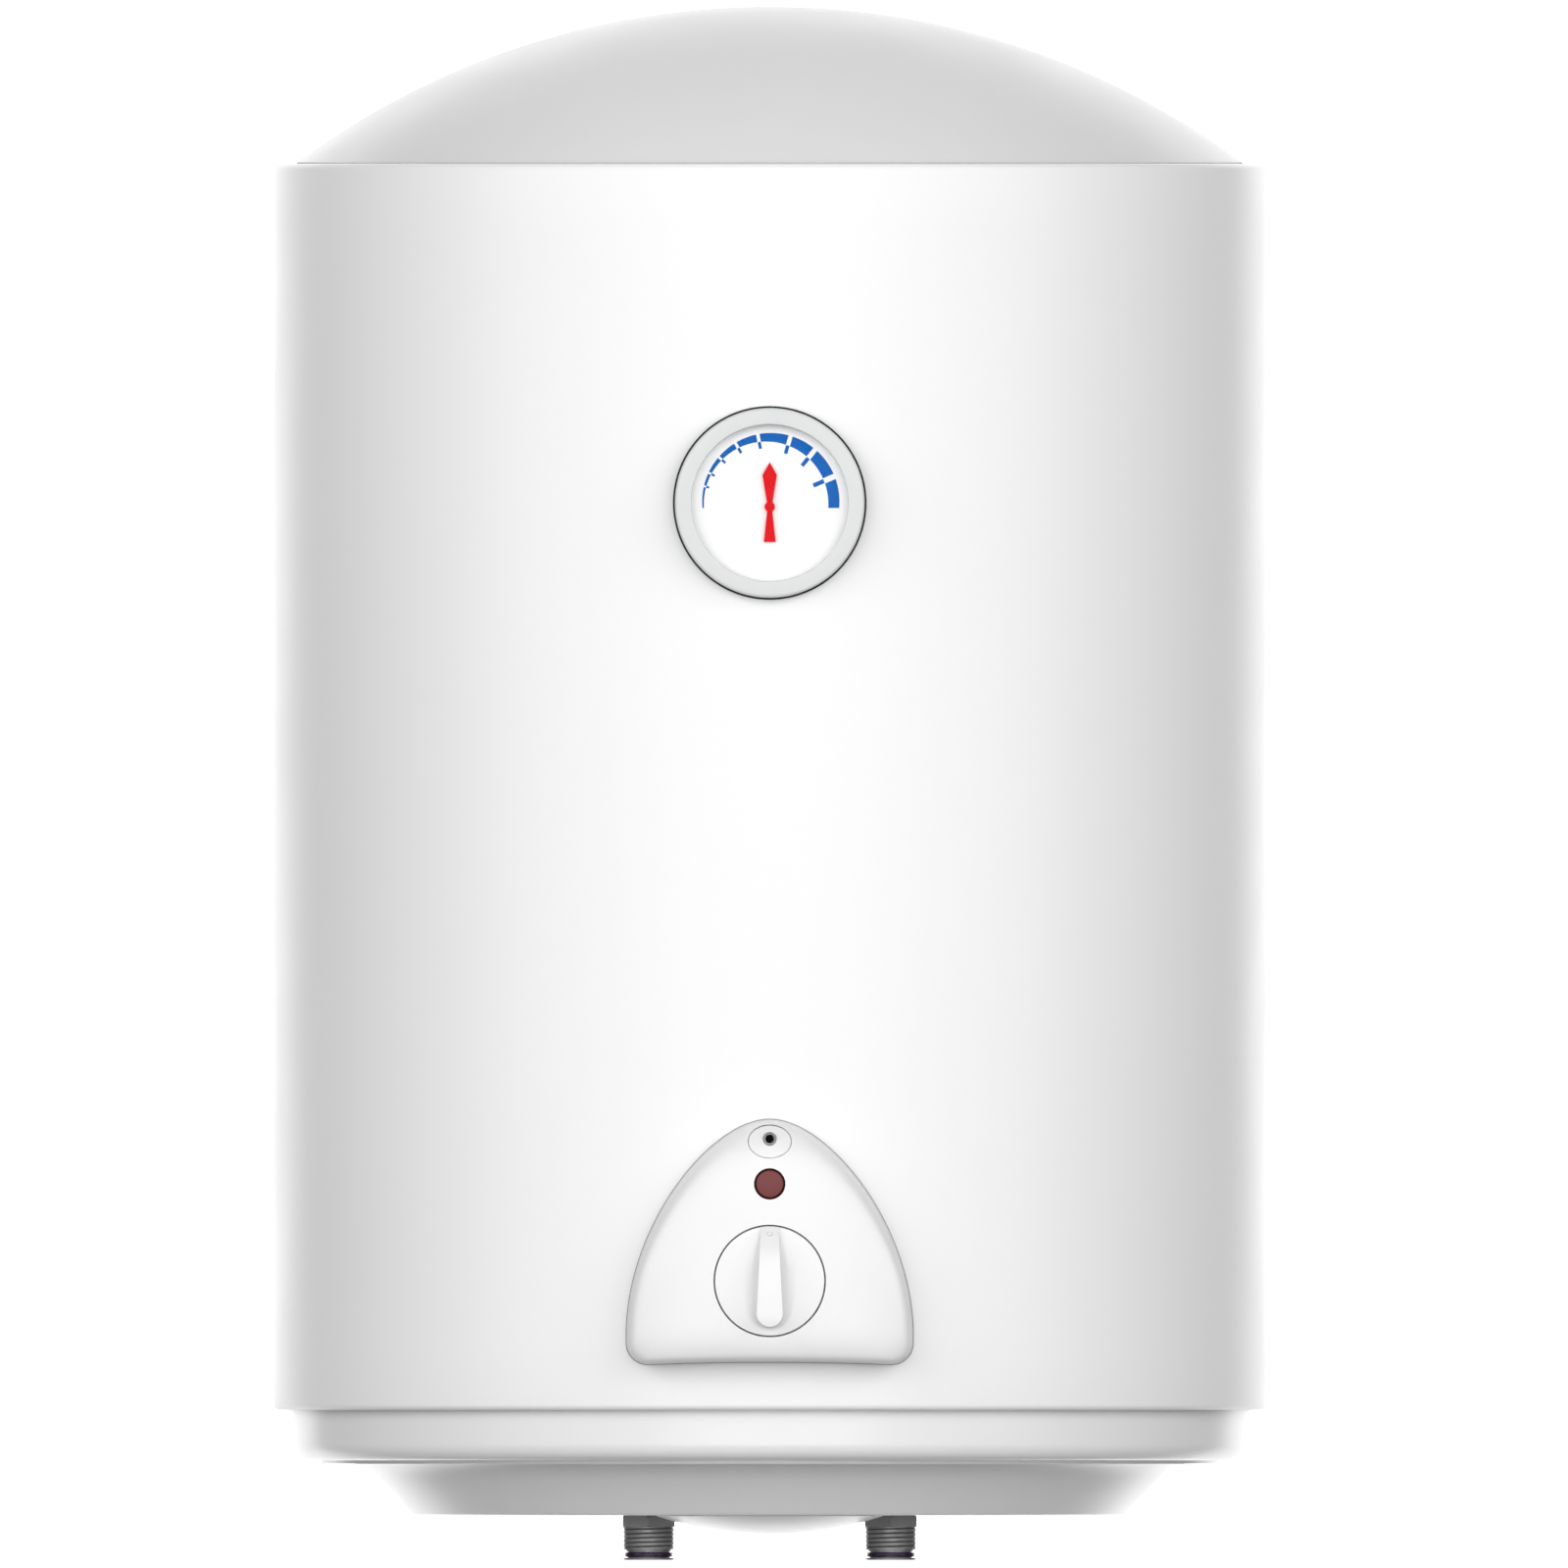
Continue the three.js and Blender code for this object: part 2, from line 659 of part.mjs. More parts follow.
/** Section of the bottom cap: skirt, ring, step, fillet and cone down to the flat underside. */
function bottomCapProfile() {
  const ringLow = bottomCapRadius - bottomRingTaper;
  const angle = THREE.MathUtils.radToDeg(bottomConeAngle);
  const coneDrop = bottomCapDepth - bottomRingHeight - bottomFilletRadius * (1 - Math.cos(bottomConeAngle));
  const filletX = bottomPlaneRadius + coneDrop / Math.tan(bottomConeAngle) + bottomFilletRadius * Math.sin(bottomConeAngle);
  const filletY = -bottomRingHeight - bottomFilletRadius;
  const cornerX = ringLow - bottomRingRound;
  const cornerY = -bottomRingHeight + bottomRingRound;
  const hem = jacketSheet + seatGap;
  return [
    [serviceOpeningRadius, -bottomCapDepth],
    [bottomPlaneRadius, -bottomCapDepth],
    ...arc(filletX, filletY, bottomFilletRadius, 90 + angle, 90, 3),
    ...arc(cornerX, cornerY, bottomRingRound, -90, 0, 3),
    [bottomCapRadius, hem],
    [bottomCapRadius + capBead, hem],
    [bottomCapRadius, capSkirt],
    [bottomCapRadius - capWall, capSkirt],
    ...arc(cornerX, cornerY, bottomRingRound - capWall, 0, -90, 2),
    ...arc(filletX, filletY, bottomFilletRadius + capWall, 90, 90 + angle, 2),
    [bottomPlaneRadius - capWall * Math.tan(bottomConeAngle / 2), bottomCapInside],
    [serviceOpeningRadius, bottomCapInside],
  ];
}

/** Bottom cap with its holes for the pipes and the cable. */
function bottomCap() {
  const [low, high] = [-bottomCapDepth - throughCut, bottomCapInside + throughCut / 2];
  const pipeHole = bar(pipeThreadRadius + runningGap, low, high, smallFacets);
  return cut(spin(bottomCapProfile(), largeFacets), [
    pipeHole.clone().translate(-pipeSpacing / 2, pipeBack, 0),
    pipeHole.clone().translate(pipeSpacing / 2, pipeBack, 0),
    bar(grommetNeckRadius + seatGap, low, high, smallFacets).translate(0, grommetBack, 0),
  ]);
}

/** Outer form of the tank without its neck, grown by a clearance. */
function tankForm(clearance) {
  const [radius, height] = [tankRadius + clearance, tankHeadHeight + clearance];
  const profile = [
    ...ellipseArc(0, tankTop - tankHeadHeight, radius, height, 90, 0, headSteps),
    ...ellipseArc(0, tankEndInset + tankHeadHeight, radius, height, 0, -90, headSteps),
  ];
  profile[0][0] = 0;
  profile[profile.length - 1][0] = 0;
  return profile;
}

/** Foam between the tank and the casing, with pockets for the controls, gauge, bracket and spacer. */
function insulationFoam() {
  const capInner = topCapRadius - capWall - seatGap;
  const headTop = jacketHeight - capSkirt - seatGap;
  const block = spin([
    ...capArc(capInner, headTop, tankTop + foamOverTank - headTop, 3),
    [foamRadius, headTop],
    [foamRadius, foamBottom],
    [0, foamBottom],
  ], largeFacets);
  const gaugePocket = barFront(gaugeCaseRadius + runningGap, tankRadius - throughCut, jacketRadius + throughCut, mediumFacets);
  return cut(block, [
    spin(tankForm(seatGap), largeFacets),
    controlPocket(),
    gaugePocket.translate(0, 0, gaugeHeight),
    ...bracketSlots(),
    spacerStemBar(2 * seatGap),
  ]);
}

/** Space in the foam behind the control cover, open at the bottom for the leads. */
function controlPocket() {
  const half = bracketHalfWidth + pocketBeside;
  const low = [-half, -(jacketRadius + throughCut), 0];
  return box(low, [half, -(tankRadius - throughCut), lensHeight + lampBaseRadius + pocketBeside / 2]);
}

/** The jacket, both caps, the foam and the service cover. */
function casing() {
  const group = new THREE.Group();
  piece(group, 'outer_jacket', outerJacket(), whiteEnamel);
  piece(group, 'top_cap', topCap(), greyWhitePlastic);
  piece(group, 'bottom_cap', bottomCap(), whitePlastic);
  piece(group, 'insulation_foam', insulationFoam(), foamYellow);
  piece(group, 'service_cover', serviceCover(), whitePlastic);
  piece(group, 'cable_grommet', cableGrommet(), blackRubber);
  return group;
}

/** Shallow dome over the service opening, on a skirt cut into snap tabs. */
function serviceCover() {
  const rim = -bottomCapDepth - seatGap;
  const edge = rim - serviceCoverEdge;
  const rise = serviceCoverRise - seatGap - serviceCoverEdge;
  const skirt = serviceOpeningRadius - seatGap;
  const inner = skirt - serviceSkirtWall;
  const hook = bottomCapInside + seatGap;
  const skirtTop = hook + serviceSkirtWall;
  const upsideDown = (points) => points.map(([x, y]) => [x, -y]);
  const profile = [
    ...upsideDown(capArc(serviceCoverRadius, -edge, rise, 5)),
    [serviceCoverRadius, rim],
    [skirt, rim],
    [skirt, hook],
    [skirt + serviceBead + seatGap, hook],
    [skirt, skirtTop],
    [inner, skirtTop],
    ...upsideDown(capArc(inner, -rim, rise + serviceCoverEdge - serviceCoverWall, 3)).reverse(),
  ];
  const slots = [];
  for (let i = 0; i < serviceSnapCount; i += 1) {
    const low = [inner - throughCut / 2, -serviceSnapSlot / 2, -bottomCapDepth];
    const slot = box(low, [skirt + throughCut, serviceSnapSlot / 2, skirtTop + throughCut]);
    slots.push(slot.rotateZ(Math.PI / 4 + (2 * Math.PI * i) / serviceSnapCount));
  }
  return cut(spin(profile, mediumFacets), slots);
}

/** Rubber grommet where the supply cable enters the bottom cap. */
function cableGrommet() {
  const outside = -bottomCapDepth - seatGap;
  const inside = bottomCapInside + seatGap;
  return spin([
    [grommetBore, outside - grommetLip],
    [grommetRadius - grommetTaper, outside - grommetLip],
    [grommetRadius, outside],
    [grommetNeckRadius, outside],
    [grommetNeckRadius, inside],
    [grommetNeckRadius + grommetInnerLip, inside],
    [grommetNeckRadius, inside + grommetLip],
    [grommetBore, inside + grommetLip],
  ], smallFacets).translate(0, grommetBack, 0);
}

// ---------------------------------------------------------------- tank and pipes
/** Tank with domed ends and a flanged neck, holed for the pipe sockets and the flange bolts. */
function innerTank() {
  const ringTop = neckFace + neckFlangeThickness;
  const shell = cut(spin(tankForm(0), largeFacets), [spin(tankForm(-tankWall), largeFacets)]);
  const neck = bar(neckRadius + neckWall, ringTop - 1, tankEndInset + 2 * tankWall, mediumFacets);
  const body = join([shell, neck, bar(flangeRadius, neckFace, ringTop, mediumFacets)]);
  const socketHole = bar(socketRadius + seatGap, -socketBelow, socketAbove + throughCut, smallFacets);
  return cut(body, [
    bar(neckRadius, neckFace - throughCut, tankEndInset + throughCut, mediumFacets),
    socketHole.clone().translate(-pipeSpacing / 2, pipeBack, 0),
    socketHole.clone().translate(pipeSpacing / 2, pipeBack, 0),
    ...boltHoles(neckFace - throughCut / 4, ringTop + throughCut / 4),
  ]);
}

/** Bars on the bolt circle, for the holes that the flange bolts pass. */
function boltHoles(from, to) {
  return boltPlaces().map(([x, y]) => bar(boltRadius + seatGap, from, to, boltFacets).translate(x, y, 0));
}

/** Places of the bolts round the flange. */
function boltPlaces() {
  const places = [];
  for (let i = 0; i < boltCount; i += 1) {
    const angle = (2 * Math.PI * i) / boltCount;
    places.push([boltCircleRadius * Math.cos(angle), boltCircleRadius * Math.sin(angle)]);
  }
  return places;
}

/** Pipe nipple: spigot in the socket, hexagon under the cap, thread, groove, band seat and end crest. */
function nipple() {
  const body = spin([
    [pipeBore, nippleEnd],
    [pipeThreadRadius - threadChamfer, nippleEnd],
    [pipeThreadRadius, crestTop - endCrestHeight / 2],
    [pipeThreadRadius - threadChamfer, crestTop],
    [bandSeatRadius, crestTop],
    [bandSeatRadius, bandTop],
    [nippleGrooveRadius, bandTop],
    [nippleGrooveRadius, nippleThreadEnd],
    [pipeThreadRadius, nippleThreadEnd],
    [pipeThreadRadius, nippleTop],
    [pipeBore, nippleTop],
  ], smallFacets);
  const hex = cut(hexBar(hexAcross, nippleHexTop - hexHeight, nippleHexTop), [
    bar(pipeBore + seatGap, nippleHexTop - 2 * hexHeight, nippleHexTop + hexHeight, smallFacets),
  ]);
  return join([body, hex]);
}

/** Plastic band in the seat near the nipple's end. */
function nippleBand() {
  return tube(bandRadius, bandSeatRadius + seatGap, crestTop + seatGap, bandTop - seatGap, smallFacets);
}

/** Cold inlet diffuser: a tube with windows under a mushroom cap that spreads the water. */
function coldDiffuser() {
  const inner = tubeRadius - tubeWall;
  const capLow = diffuserHeight - diffuserCapThickness;
  const windowTop = capLow - diffuserWindowDrop;
  const [reach, half] = [tubeRadius + 1, tubeRadius / 2];
  const body = spin([
    [inner, tubeFoot],
    [tubeRadius, tubeFoot],
    [tubeRadius, capLow],
    [diffuserCapRadius, capLow - diffuserLip],
    [diffuserCapRadius, capLow],
    [tubeRadius, diffuserHeight],
    [0, diffuserHeight],
    [0, capLow],
    [inner, capLow],
  ].reverse(), smallFacets);
  const window = box([-reach, -half, windowTop - diffuserWindowHeight], [reach, half, windowTop]);
  return cut(body, [window, window.clone().rotateZ(Math.PI / 2)]);
}

/** Hot outlet tube: it draws the hottest water from the top of the tank. */
function hotOutletTube() {
  return tube(tubeRadius, tubeRadius - tubeWall, tubeFoot, tankTop - tankWall - outletTubeTopGap, smallFacets);
}

/** Tank, sockets, nipples and the tubes inside them. */
function tankAndPipes() {
  const group = new THREE.Group();
  piece(group, 'inner_tank', innerTank(), tankEnamel);
  const pipes = [['cold', pipeSpacing / 2], ['hot', -pipeSpacing / 2]];
  pipes.forEach(([name, x]) => {
    const pipe = new THREE.Group();
    pipe.position.set(x, pipeBack, 0);
    const socket = tube(socketRadius, spigotRadius + seatGap, -socketBelow, socketAbove, smallFacets);
    piece(pipe, `${name}_socket`, socket, bareSteel);
    piece(pipe, `${name}_nipple`, nipple(), darkSteel);
    piece(pipe, `${name}_nipple_band`, nippleBand(), darkBand);
    if (name === 'cold') piece(pipe, 'cold_diffuser', coldDiffuser(), whitePlastic);
    else piece(pipe, 'hot_outlet_tube', hotOutletTube(), bareSteel);
    group.add(pipe);
  });
  return group;
}

// ---------------------------------------------------------------- element flange and what it carries
/** Holes through the element flange: bolts, element legs, anode stud and thermowell. */
function flangeHoles() {
  const [low, high] = [flangeFace - throughCut / 2, flangeTopFace + throughCut / 2];
  const leg = bar(elementTubeRadius + seatGap, low, high, smallFacets);
  return [
    ...boltHoles(low, high),
    leg.clone().translate(elementSpread, elementBack, 0),
    leg.clone().translate(-elementSpread, elementBack, 0),
    bar(anodeStudRadius + seatGap, low, high, smallFacets).translate(0, -anodeFront, 0),
    bar(thermowellRadius + seatGap, low, high, smallFacets).translate(0, thermowellBack, 0),
  ];
}

/** One flange bolt, head down, standing on the axis. */
function flangeBolt() {
  const head = hexBar(boltHeadAcross, underFlange - boltHeadHeight, underFlange);
  const shank = bar(boltRadius, underFlange - boltHeadHeight / 2, neckFace + neckFlangeThickness + boltEndProud, boltFacets);
  return join([head, shank]);
}

/** Anode rod on its stud, standing on the flange. */
function anodeRod() {
  const foot = flangeTopFace + seatGap;
  return spin([
    [0, underFlange - anodeNutHeight - anodeStudProud],
    [anodeStudRadius, underFlange - anodeNutHeight - anodeStudProud],
    [anodeStudRadius, foot],
    [anodeRadius, foot],
    [anodeRadius, foot + anodeLength],
    [0, foot + anodeLength],
  ], smallFacets);
}

/** Nut of the anode rod, under the flange. */
function anodeNut() {
  const low = underFlange - anodeNutHeight;
  const bore = bar(anodeStudRadius + seatGap, low - 1, underFlange + 1, smallFacets);
  return cut(hexBar(anodeNutAcross, low, underFlange), [bore]);
}

/** Closed thermowell tube with the collar that is brazed under the flange. */
function thermowell() {
  const [inner, low] = [thermowellRadius - thermowellWall, underFlange - collarThickness];
  return spin([
    [0, thermowellLength],
    [thermowellRadius, thermowellLength],
    [thermowellRadius, underFlange],
    [thermowellRadius + collarThickness, underFlange],
    [thermowellRadius + collarThickness, low],
    [inner, low],
    [inner, thermowellLength - thermowellWall],
    [0, thermowellLength - thermowellWall],
  ], smallFacets);
}

/** Safety cut-out's body, with the bore that its reset button slides in. */
function safetyCutout() {
  const low = underFlange - cutoutHeight;
  const bore = bar(resetRadius + runningGap, low - 1, resetTop + resetTravel + runningGap, smallFacets);
  const halfWidth = cutoutWidth / 2;
  const halfLength = cutoutLength / 2;
  return cut(box([-halfWidth, -halfLength, low], [halfWidth, halfLength, underFlange]), [bore]);
}

/** Flange with gasket, bolts, heating element, anode, thermowell, terminals and safety cut-out. */
function flangeUnit() {
  const group = new THREE.Group();
  const ring = tube(flangeRadius, neckRadius + seatGap, gasketFace, gasketFace + gasketThickness, mediumFacets);
  piece(group, 'flange_gasket', cut(ring, boltHoles(gasketFace - 1, neckFace)), blackRubber);
  const disc = bar(flangeRadius, flangeFace, flangeTopFace, mediumFacets);
  piece(group, 'element_flange', cut(disc, flangeHoles()), bareSteel);
  boltPlaces().forEach(([x, y], i) => {
    piece(group, `flange_bolt_${i + 1}`, flangeBolt(), bareSteel).position.set(x, y, 0);
  });
  const element = hairpin(elementSpread, underFlange - legProud, elementLength, elementTubeRadius, boltFacets);
  piece(group, 'heating_element', element, copperMetal).position.set(0, elementBack, 0);
  piece(group, 'anode_rod', anodeRod(), magnesium).position.set(0, -anodeFront, 0);
  piece(group, 'anode_nut', anodeNut(), bareSteel).position.set(0, -anodeFront, 0);
  piece(group, 'thermowell', thermowell(), copperMetal).position.set(0, thermowellBack, 0);
  addTerminals(group);
  piece(group, 'safety_cutout', safetyCutout(), blackPlastic).position.set(0, -cutoutFront, 0);
  const button = bar(resetRadius, resetTop - resetLength, resetTop, smallFacets);
  piece(group, 'reset_button', button, redPlastic).position.set(0, -cutoutFront, 0);
  return group;
}

/** Insulator and stud under each leg of the heating element. */
function addTerminals(group) {
  const top = underFlange - legProud - seatGap;
  const insulator = tube(terminalRadius, terminalStudRadius + seatGap, top - terminalHeight, top, smallFacets);
  const stud = bar(terminalStudRadius, top - terminalHeight - terminalStudLength, top, smallFacets);
  [['left', -elementSpread], ['right', elementSpread]].forEach(([name, x]) => {
    piece(group, `element_insulator_${name}`, insulator, ceramicWhite).position.set(x, elementBack, 0);
    piece(group, `element_stud_${name}`, stud, brassMetal).position.set(x, elementBack, 0);
  });
}

// ---------------------------------------------------------------- controls
/** Control cover: a wrapped pillow shell with a knob well, a lens hole and a screw boss. */
function controlCover() {
  const outer = coverPillow(0, -throughCut / 2, coverCrown);
  const far = coverRim + coverCrown + throughCut;
  const keep = [
    barFront(knobWellRadius + coverWall, knobWellFloor - coverWall, far, mediumFacets).translate(0, 0, knobHeight),
    barFront(screwBore + screwBossWall, webFront + seatGap, far, smallFacets).translate(0, 0, screwHeight),
  ];
  const cavity = cut(coverPillow(coverWall, -throughCut, coverCrown - coverWall), keep);
  const screwRecess = spinFront([
    [0, screwSeat],
    [screwBore, screwSeat],
    [screwBore, screwSurroundFloor],
    [screwSurround, screwSurroundFloor + screwSurround - screwBore],
    [screwSurround, far],
    [0, far],
  ], smallFacets);
  return cut(outer, [
    cavity,
    axisCylinder(jacketRadius + seatGap, 0, 2 * coverHeight),
    barFront(knobWellRadius, knobWellFloor, far, mediumFacets).translate(0, 0, knobHeight),
    barFront(knobHubRadius + runningGap, 0, far, smallFacets).translate(0, 0, knobHeight),
    barFront(lensRadius + seatGap, lensDepth, far, smallFacets).translate(0, 0, lensHeight),
    screwRecess.translate(0, 0, screwHeight),
    barFront(screwShankRadius + seatGap, 0, far, smallFacets).translate(0, 0, screwHeight),
  ]);
}

/** Cover screw: its head seats down the recess and its shank ends behind the bracket's tab. */
function coverScrew() {
  const seat = screwSeat + seatGap;
  return spinFront([
    [0, bracketStandoff - seatGap],
    [screwShankRadius, bracketStandoff - seatGap],
    [screwShankRadius, seat],
    [screwHeadRadius, seat],
    [screwHeadRadius, seat + screwHeadThickness],
    [0, seat + screwHeadThickness],
  ], smallFacets);
}

/** Outline of the knob's grip: narrow at the rim, widening to a round end below the centre. */
function gripOutline() {
  const end = gripWidth / 2;
  const outline = new THREE.Shape();
  outline.moveTo(-gripTopWidth / 2, knobWellRadius);
  outline.lineTo(-end, end - gripEndDrop);
  outline.absarc(0, end - gripEndDrop, end, Math.PI, 2 * Math.PI, false);
  outline.lineTo(gripTopWidth / 2, knobWellRadius);
  return outline;
}

/** Side view of the grip: it rises from the rim in a curve to its full height. */
function gripSide() {
  const top = knobWellRadius;
  const side = new THREE.Shape();
  side.moveTo(-knobDiscBack, -gripEndDrop - 1);
  side.lineTo(-knobDiscBack, top);
  side.lineTo(-(knobDiscFront + gripLowRise), top);
  side.quadraticCurveTo(-(knobDiscFront + gripHighRise), gripCurveEnd + gripWideDrop, -(knobDiscFront + gripHighRise), gripCurveEnd);
  side.lineTo(-(knobDiscFront + gripHighRise), -gripEndDrop - 1);
  return side;
}

/** Temperature knob: disc, grip and a hub with a flatted bore for the spindle. */
function temperatureKnob() {
  const radius = knobWellRadius - runningGap;
  const back = knobWellFloor - coverWall - 1;
  const disc = spinFront([
    [0, knobDiscBack],
    [radius, knobDiscBack],
    [radius, knobDiscFront - knobEdgeRound],
    [radius - knobEdgeRound, knobDiscFront],
    [0, knobDiscFront],
  ], mediumFacets);
  const slab = plateFront(gripOutline(), knobDiscBack + 1, knobDiscFront + gripHighRise + 1);
  const shaped = shared(slab, plateSide(gripSide(), -gripWidth, gripWidth));
  const grip = shared(shaped, barFront(radius, 0, knobDiscFront + 2 * gripHighRise, mediumFacets));
  const hub = barFront(knobHubRadius, back, knobDiscBack + 1, smallFacets);
  const bore = flattedBar(spindleRadius + seatGap, spindleFlat + seatGap, back - 1, spindleFront + seatGap);
  return cut(join([disc, grip, hub]), [bore]);
}

/** Thermostat spindle: round in the body, with a flat for the knob. */
function thermostatSpindle() {
  const flatStart = spindleFront - spindleFlatLength;
  return join([
    barFront(spindleRadius, -spindleBack, flatStart + 1, smallFacets),
    flattedBar(spindleRadius, spindleFlat, flatStart, spindleFront),
  ]);
}

/** Thermostat body with its threaded bushing and the spindle's bore. */
function thermostatBody() {
  const outline = roundedRectangle(0, 0, thermostatWidth, thermostatHeight, thermostatCorner);
  const block = plateFront(outline, thermostatFront - thermostatDepth, thermostatFront, 3);
  const bushing = barFront(bushingRadius, thermostatFront - 1, webFront + bushingLength, smallFacets);
  const bore = barFront(spindleRadius + seatGap, -spindleBack - seatGap, webFront + 2 * bushingLength, smallFacets);
  return cut(join([block, bushing]), [bore]);
}

/** Bracket welded to the tank's front: a web for the thermostat, lamp and cover screw, on two legs. */
function controlBracket() {
  const web = new THREE.Shape();
  web.moveTo(-bracketHalfWidth, bracketFoot);
  web.lineTo(bracketHalfWidth, bracketFoot);
  web.lineTo(bracketHalfWidth, bracketTop);
  web.lineTo(bracketTabHalfWidth, bracketTop);
  web.lineTo(bracketTabHalfWidth, bracketTabTop);
  web.lineTo(-bracketTabHalfWidth, bracketTabTop);
  web.lineTo(-bracketTabHalfWidth, bracketTop);
  web.lineTo(-bracketHalfWidth, bracketTop);
  const inner = bracketHalfWidth - bracketSheet;
  const reach = insulationThickness + throughCut;
  const leg = box([inner, -webFront, legBottom], [bracketHalfWidth, reach, legTop]);
  const body = join([plateFront(web, bracketStandoff, webFront), leg, leg.clone().translate(-inner - bracketHalfWidth, 0, 0)]);
  return cut(body, [
    axisCylinder(tankRadius + seatGap, 0, 2 * bracketTop),
    barFront(bushingRadius + seatGap, 0, throughCut, smallFacets).translate(0, 0, knobHeight),
    barFront(lampBaseRadius + seatGap, 0, throughCut, smallFacets).translate(0, 0, lensHeight),
    barFront(screwShankRadius + seatGap, 0, throughCut, smallFacets).translate(0, 0, screwHeight),
  ]);
}

/** Indicator lens: a hollow cap with a flange behind the cover. */
function indicatorLens() {
  const flange = lensRadius + lensFlange;
  const inside = lensFront - 2 * lensWall;
  return spinFront([
    [0, lensFront + lensRise],
    [lensRadius - lensEdgeRound, lensFront],
    [lensRadius, lensFront - lensEdgeRound],
    [lensRadius, lensDepth + lensFlangeThickness],
    [flange, lensDepth + lensFlangeThickness],
    [flange, lensDepth],
    [lensRadius - lensWall, lensDepth],
    [lensRadius - lensWall, inside],
    [0, inside],
  ], smallFacets);
}

/** Indicator lamp: a base in the bracket's web and a bulb that ends inside the lens. */
function indicatorLamp() {
  const tip = lensFront - lampTipInset;
  return spinFront([
    [0, -lampBack],
    [lampBaseRadius, -lampBack],
    [lampBaseRadius, tip - lampBulbLength],
    [lampRadius, tip - lampBulbLength],
    ...arc(0, tip - lampRadius, lampRadius, 0, 90, 4).slice(0, -1),
    [0, tip],
  ], smallFacets);
}

/** Capillary from the thermostat to the bulb in the thermowell, in the heater's own axes. */
function thermostatCapillary() {
  const front = -(jacketRadius - capillaryInset);
  const below = underFlange - capillaryDrop;
  const well = thermowellBack;
  const [turnBack, turnUp] = capillaryTurn;
  const route = [
    [-capillaryBeside, front, knobHeight - thermostatHeight / 2 - seatGap],
    [-capillaryBeside, front, capillaryBendTop],
    [-capillaryBeside, front + capillaryBend, capillaryBendFoot],
    [-capillaryBeside, -capillaryFront, below + capillaryRise],
    [-capillaryBeside, -cutoutFront, below],
    [0, well - turnBack, below],
    [0, well, below + turnUp],
    [0, well, underFlange],
    [0, well, thermowellLength - bulbLength],
  ];
  const path = new THREE.CatmullRomCurve3(route.map((point) => new THREE.Vector3(...point)), false, 'centripetal');
  const top = thermowellLength - thermowellWall - seatGap;
  const bulb = bar(bulbRadius, top - bulbLength, top, smallFacets).translate(0, well, 0);
  return join([sweep(path, capillaryRadius, 40, leadFacets), bulb]);
}

/** Everything on the control bracket, in a group at the jacket's front line. */
function controls() {
  const group = new THREE.Group();
  group.position.set(0, -jacketRadius, 0);
  piece(group, 'control_bracket', controlBracket(), bareSteel);
  piece(group, 'control_cover', controlCover(), whitePlastic);
  piece(group, 'cover_screw', coverScrew(), darkSteel).position.set(0, 0, screwHeight);
  piece(group, 'temperature_knob', temperatureKnob(), whitePlastic).position.set(0, 0, knobHeight);
  piece(group, 'thermostat_spindle', thermostatSpindle(), bareSteel).position.set(0, 0, knobHeight);
  piece(group, 'thermostat_body', thermostatBody(), blackPlastic).position.set(0, 0, knobHeight);
  piece(group, 'indicator_lens', indicatorLens(), lensRed).position.set(0, 0, lensHeight);
  piece(group, 'indicator_lamp', indicatorLamp(), lampOrange).position.set(0, 0, lensHeight);
  return group;
}

// ---------------------------------------------------------------- thermometer
/** Bezel ring: lip over the glass in front, cut to the jacket's round at the back. */
function gaugeBezel() {
  const lipBack = gaugeFront - gaugeLip;
  const ring = spinFront([
    [gaugeRadius, bezelBack],
    [gaugeRadius, gaugeFront - gaugeChamfer],
    [gaugeRadius - gaugeChamfer, gaugeFront],
    [gaugeWindowRadius + 1, gaugeFront],
    [gaugeWindowRadius, gaugeFront - gaugeLip / 2],
    [gaugeWindowRadius, lipBack],
    [gaugeInnerRadius, lipBack],
    [gaugeInnerRadius, bezelBack],
  ], mediumFacets);
  return cut(ring, [axisCylinder(jacketRadius + seatGap, -2 * gaugeRadius, 2 * gaugeRadius)]);
}

/** Gauge case: a cup through the jacket with a stem that reaches the tank. */
function gaugeCase() {
  const rim = gaugeInnerRadius - seatGap;
  const front = seatGap + gaugeFlangeThickness;
  const inner = gaugeCaseRadius - gaugeCaseWall;
  const cup = spinFront([
    [0, seatGap - insulationThickness],
    [gaugeStemRadius, seatGap - insulationThickness],
    [gaugeStemRadius, -gaugeCaseDepth],
    [gaugeCaseRadius, -gaugeCaseDepth],
    [gaugeCaseRadius, seatGap],
    [rim, seatGap],
    [rim, front],
    [inner, front],
    [inner, gaugeCaseWall - gaugeCaseDepth],
    [0, gaugeCaseWall - gaugeCaseDepth],
  ], mediumFacets);
  const bearing = barFront(pivotRadius + seatGap, -gaugeCaseDepth - pivotDepth, 0, smallFacets);
  return cut(cup, [bearing.translate(0, 0, -pivotDrop)]);
}

/** White dial plate with the hole for the pointer's spindle. */
function gaugeDial() {
  const disc = barFront(gaugeInnerRadius - seatGap, dialBack, dialTop, mediumFacets);
  const hole = barFront(pivotRadius + seatGap, 0, gaugeFront, smallFacets);
  return cut(disc, [hole.translate(0, 0, -pivotDrop)]);
}

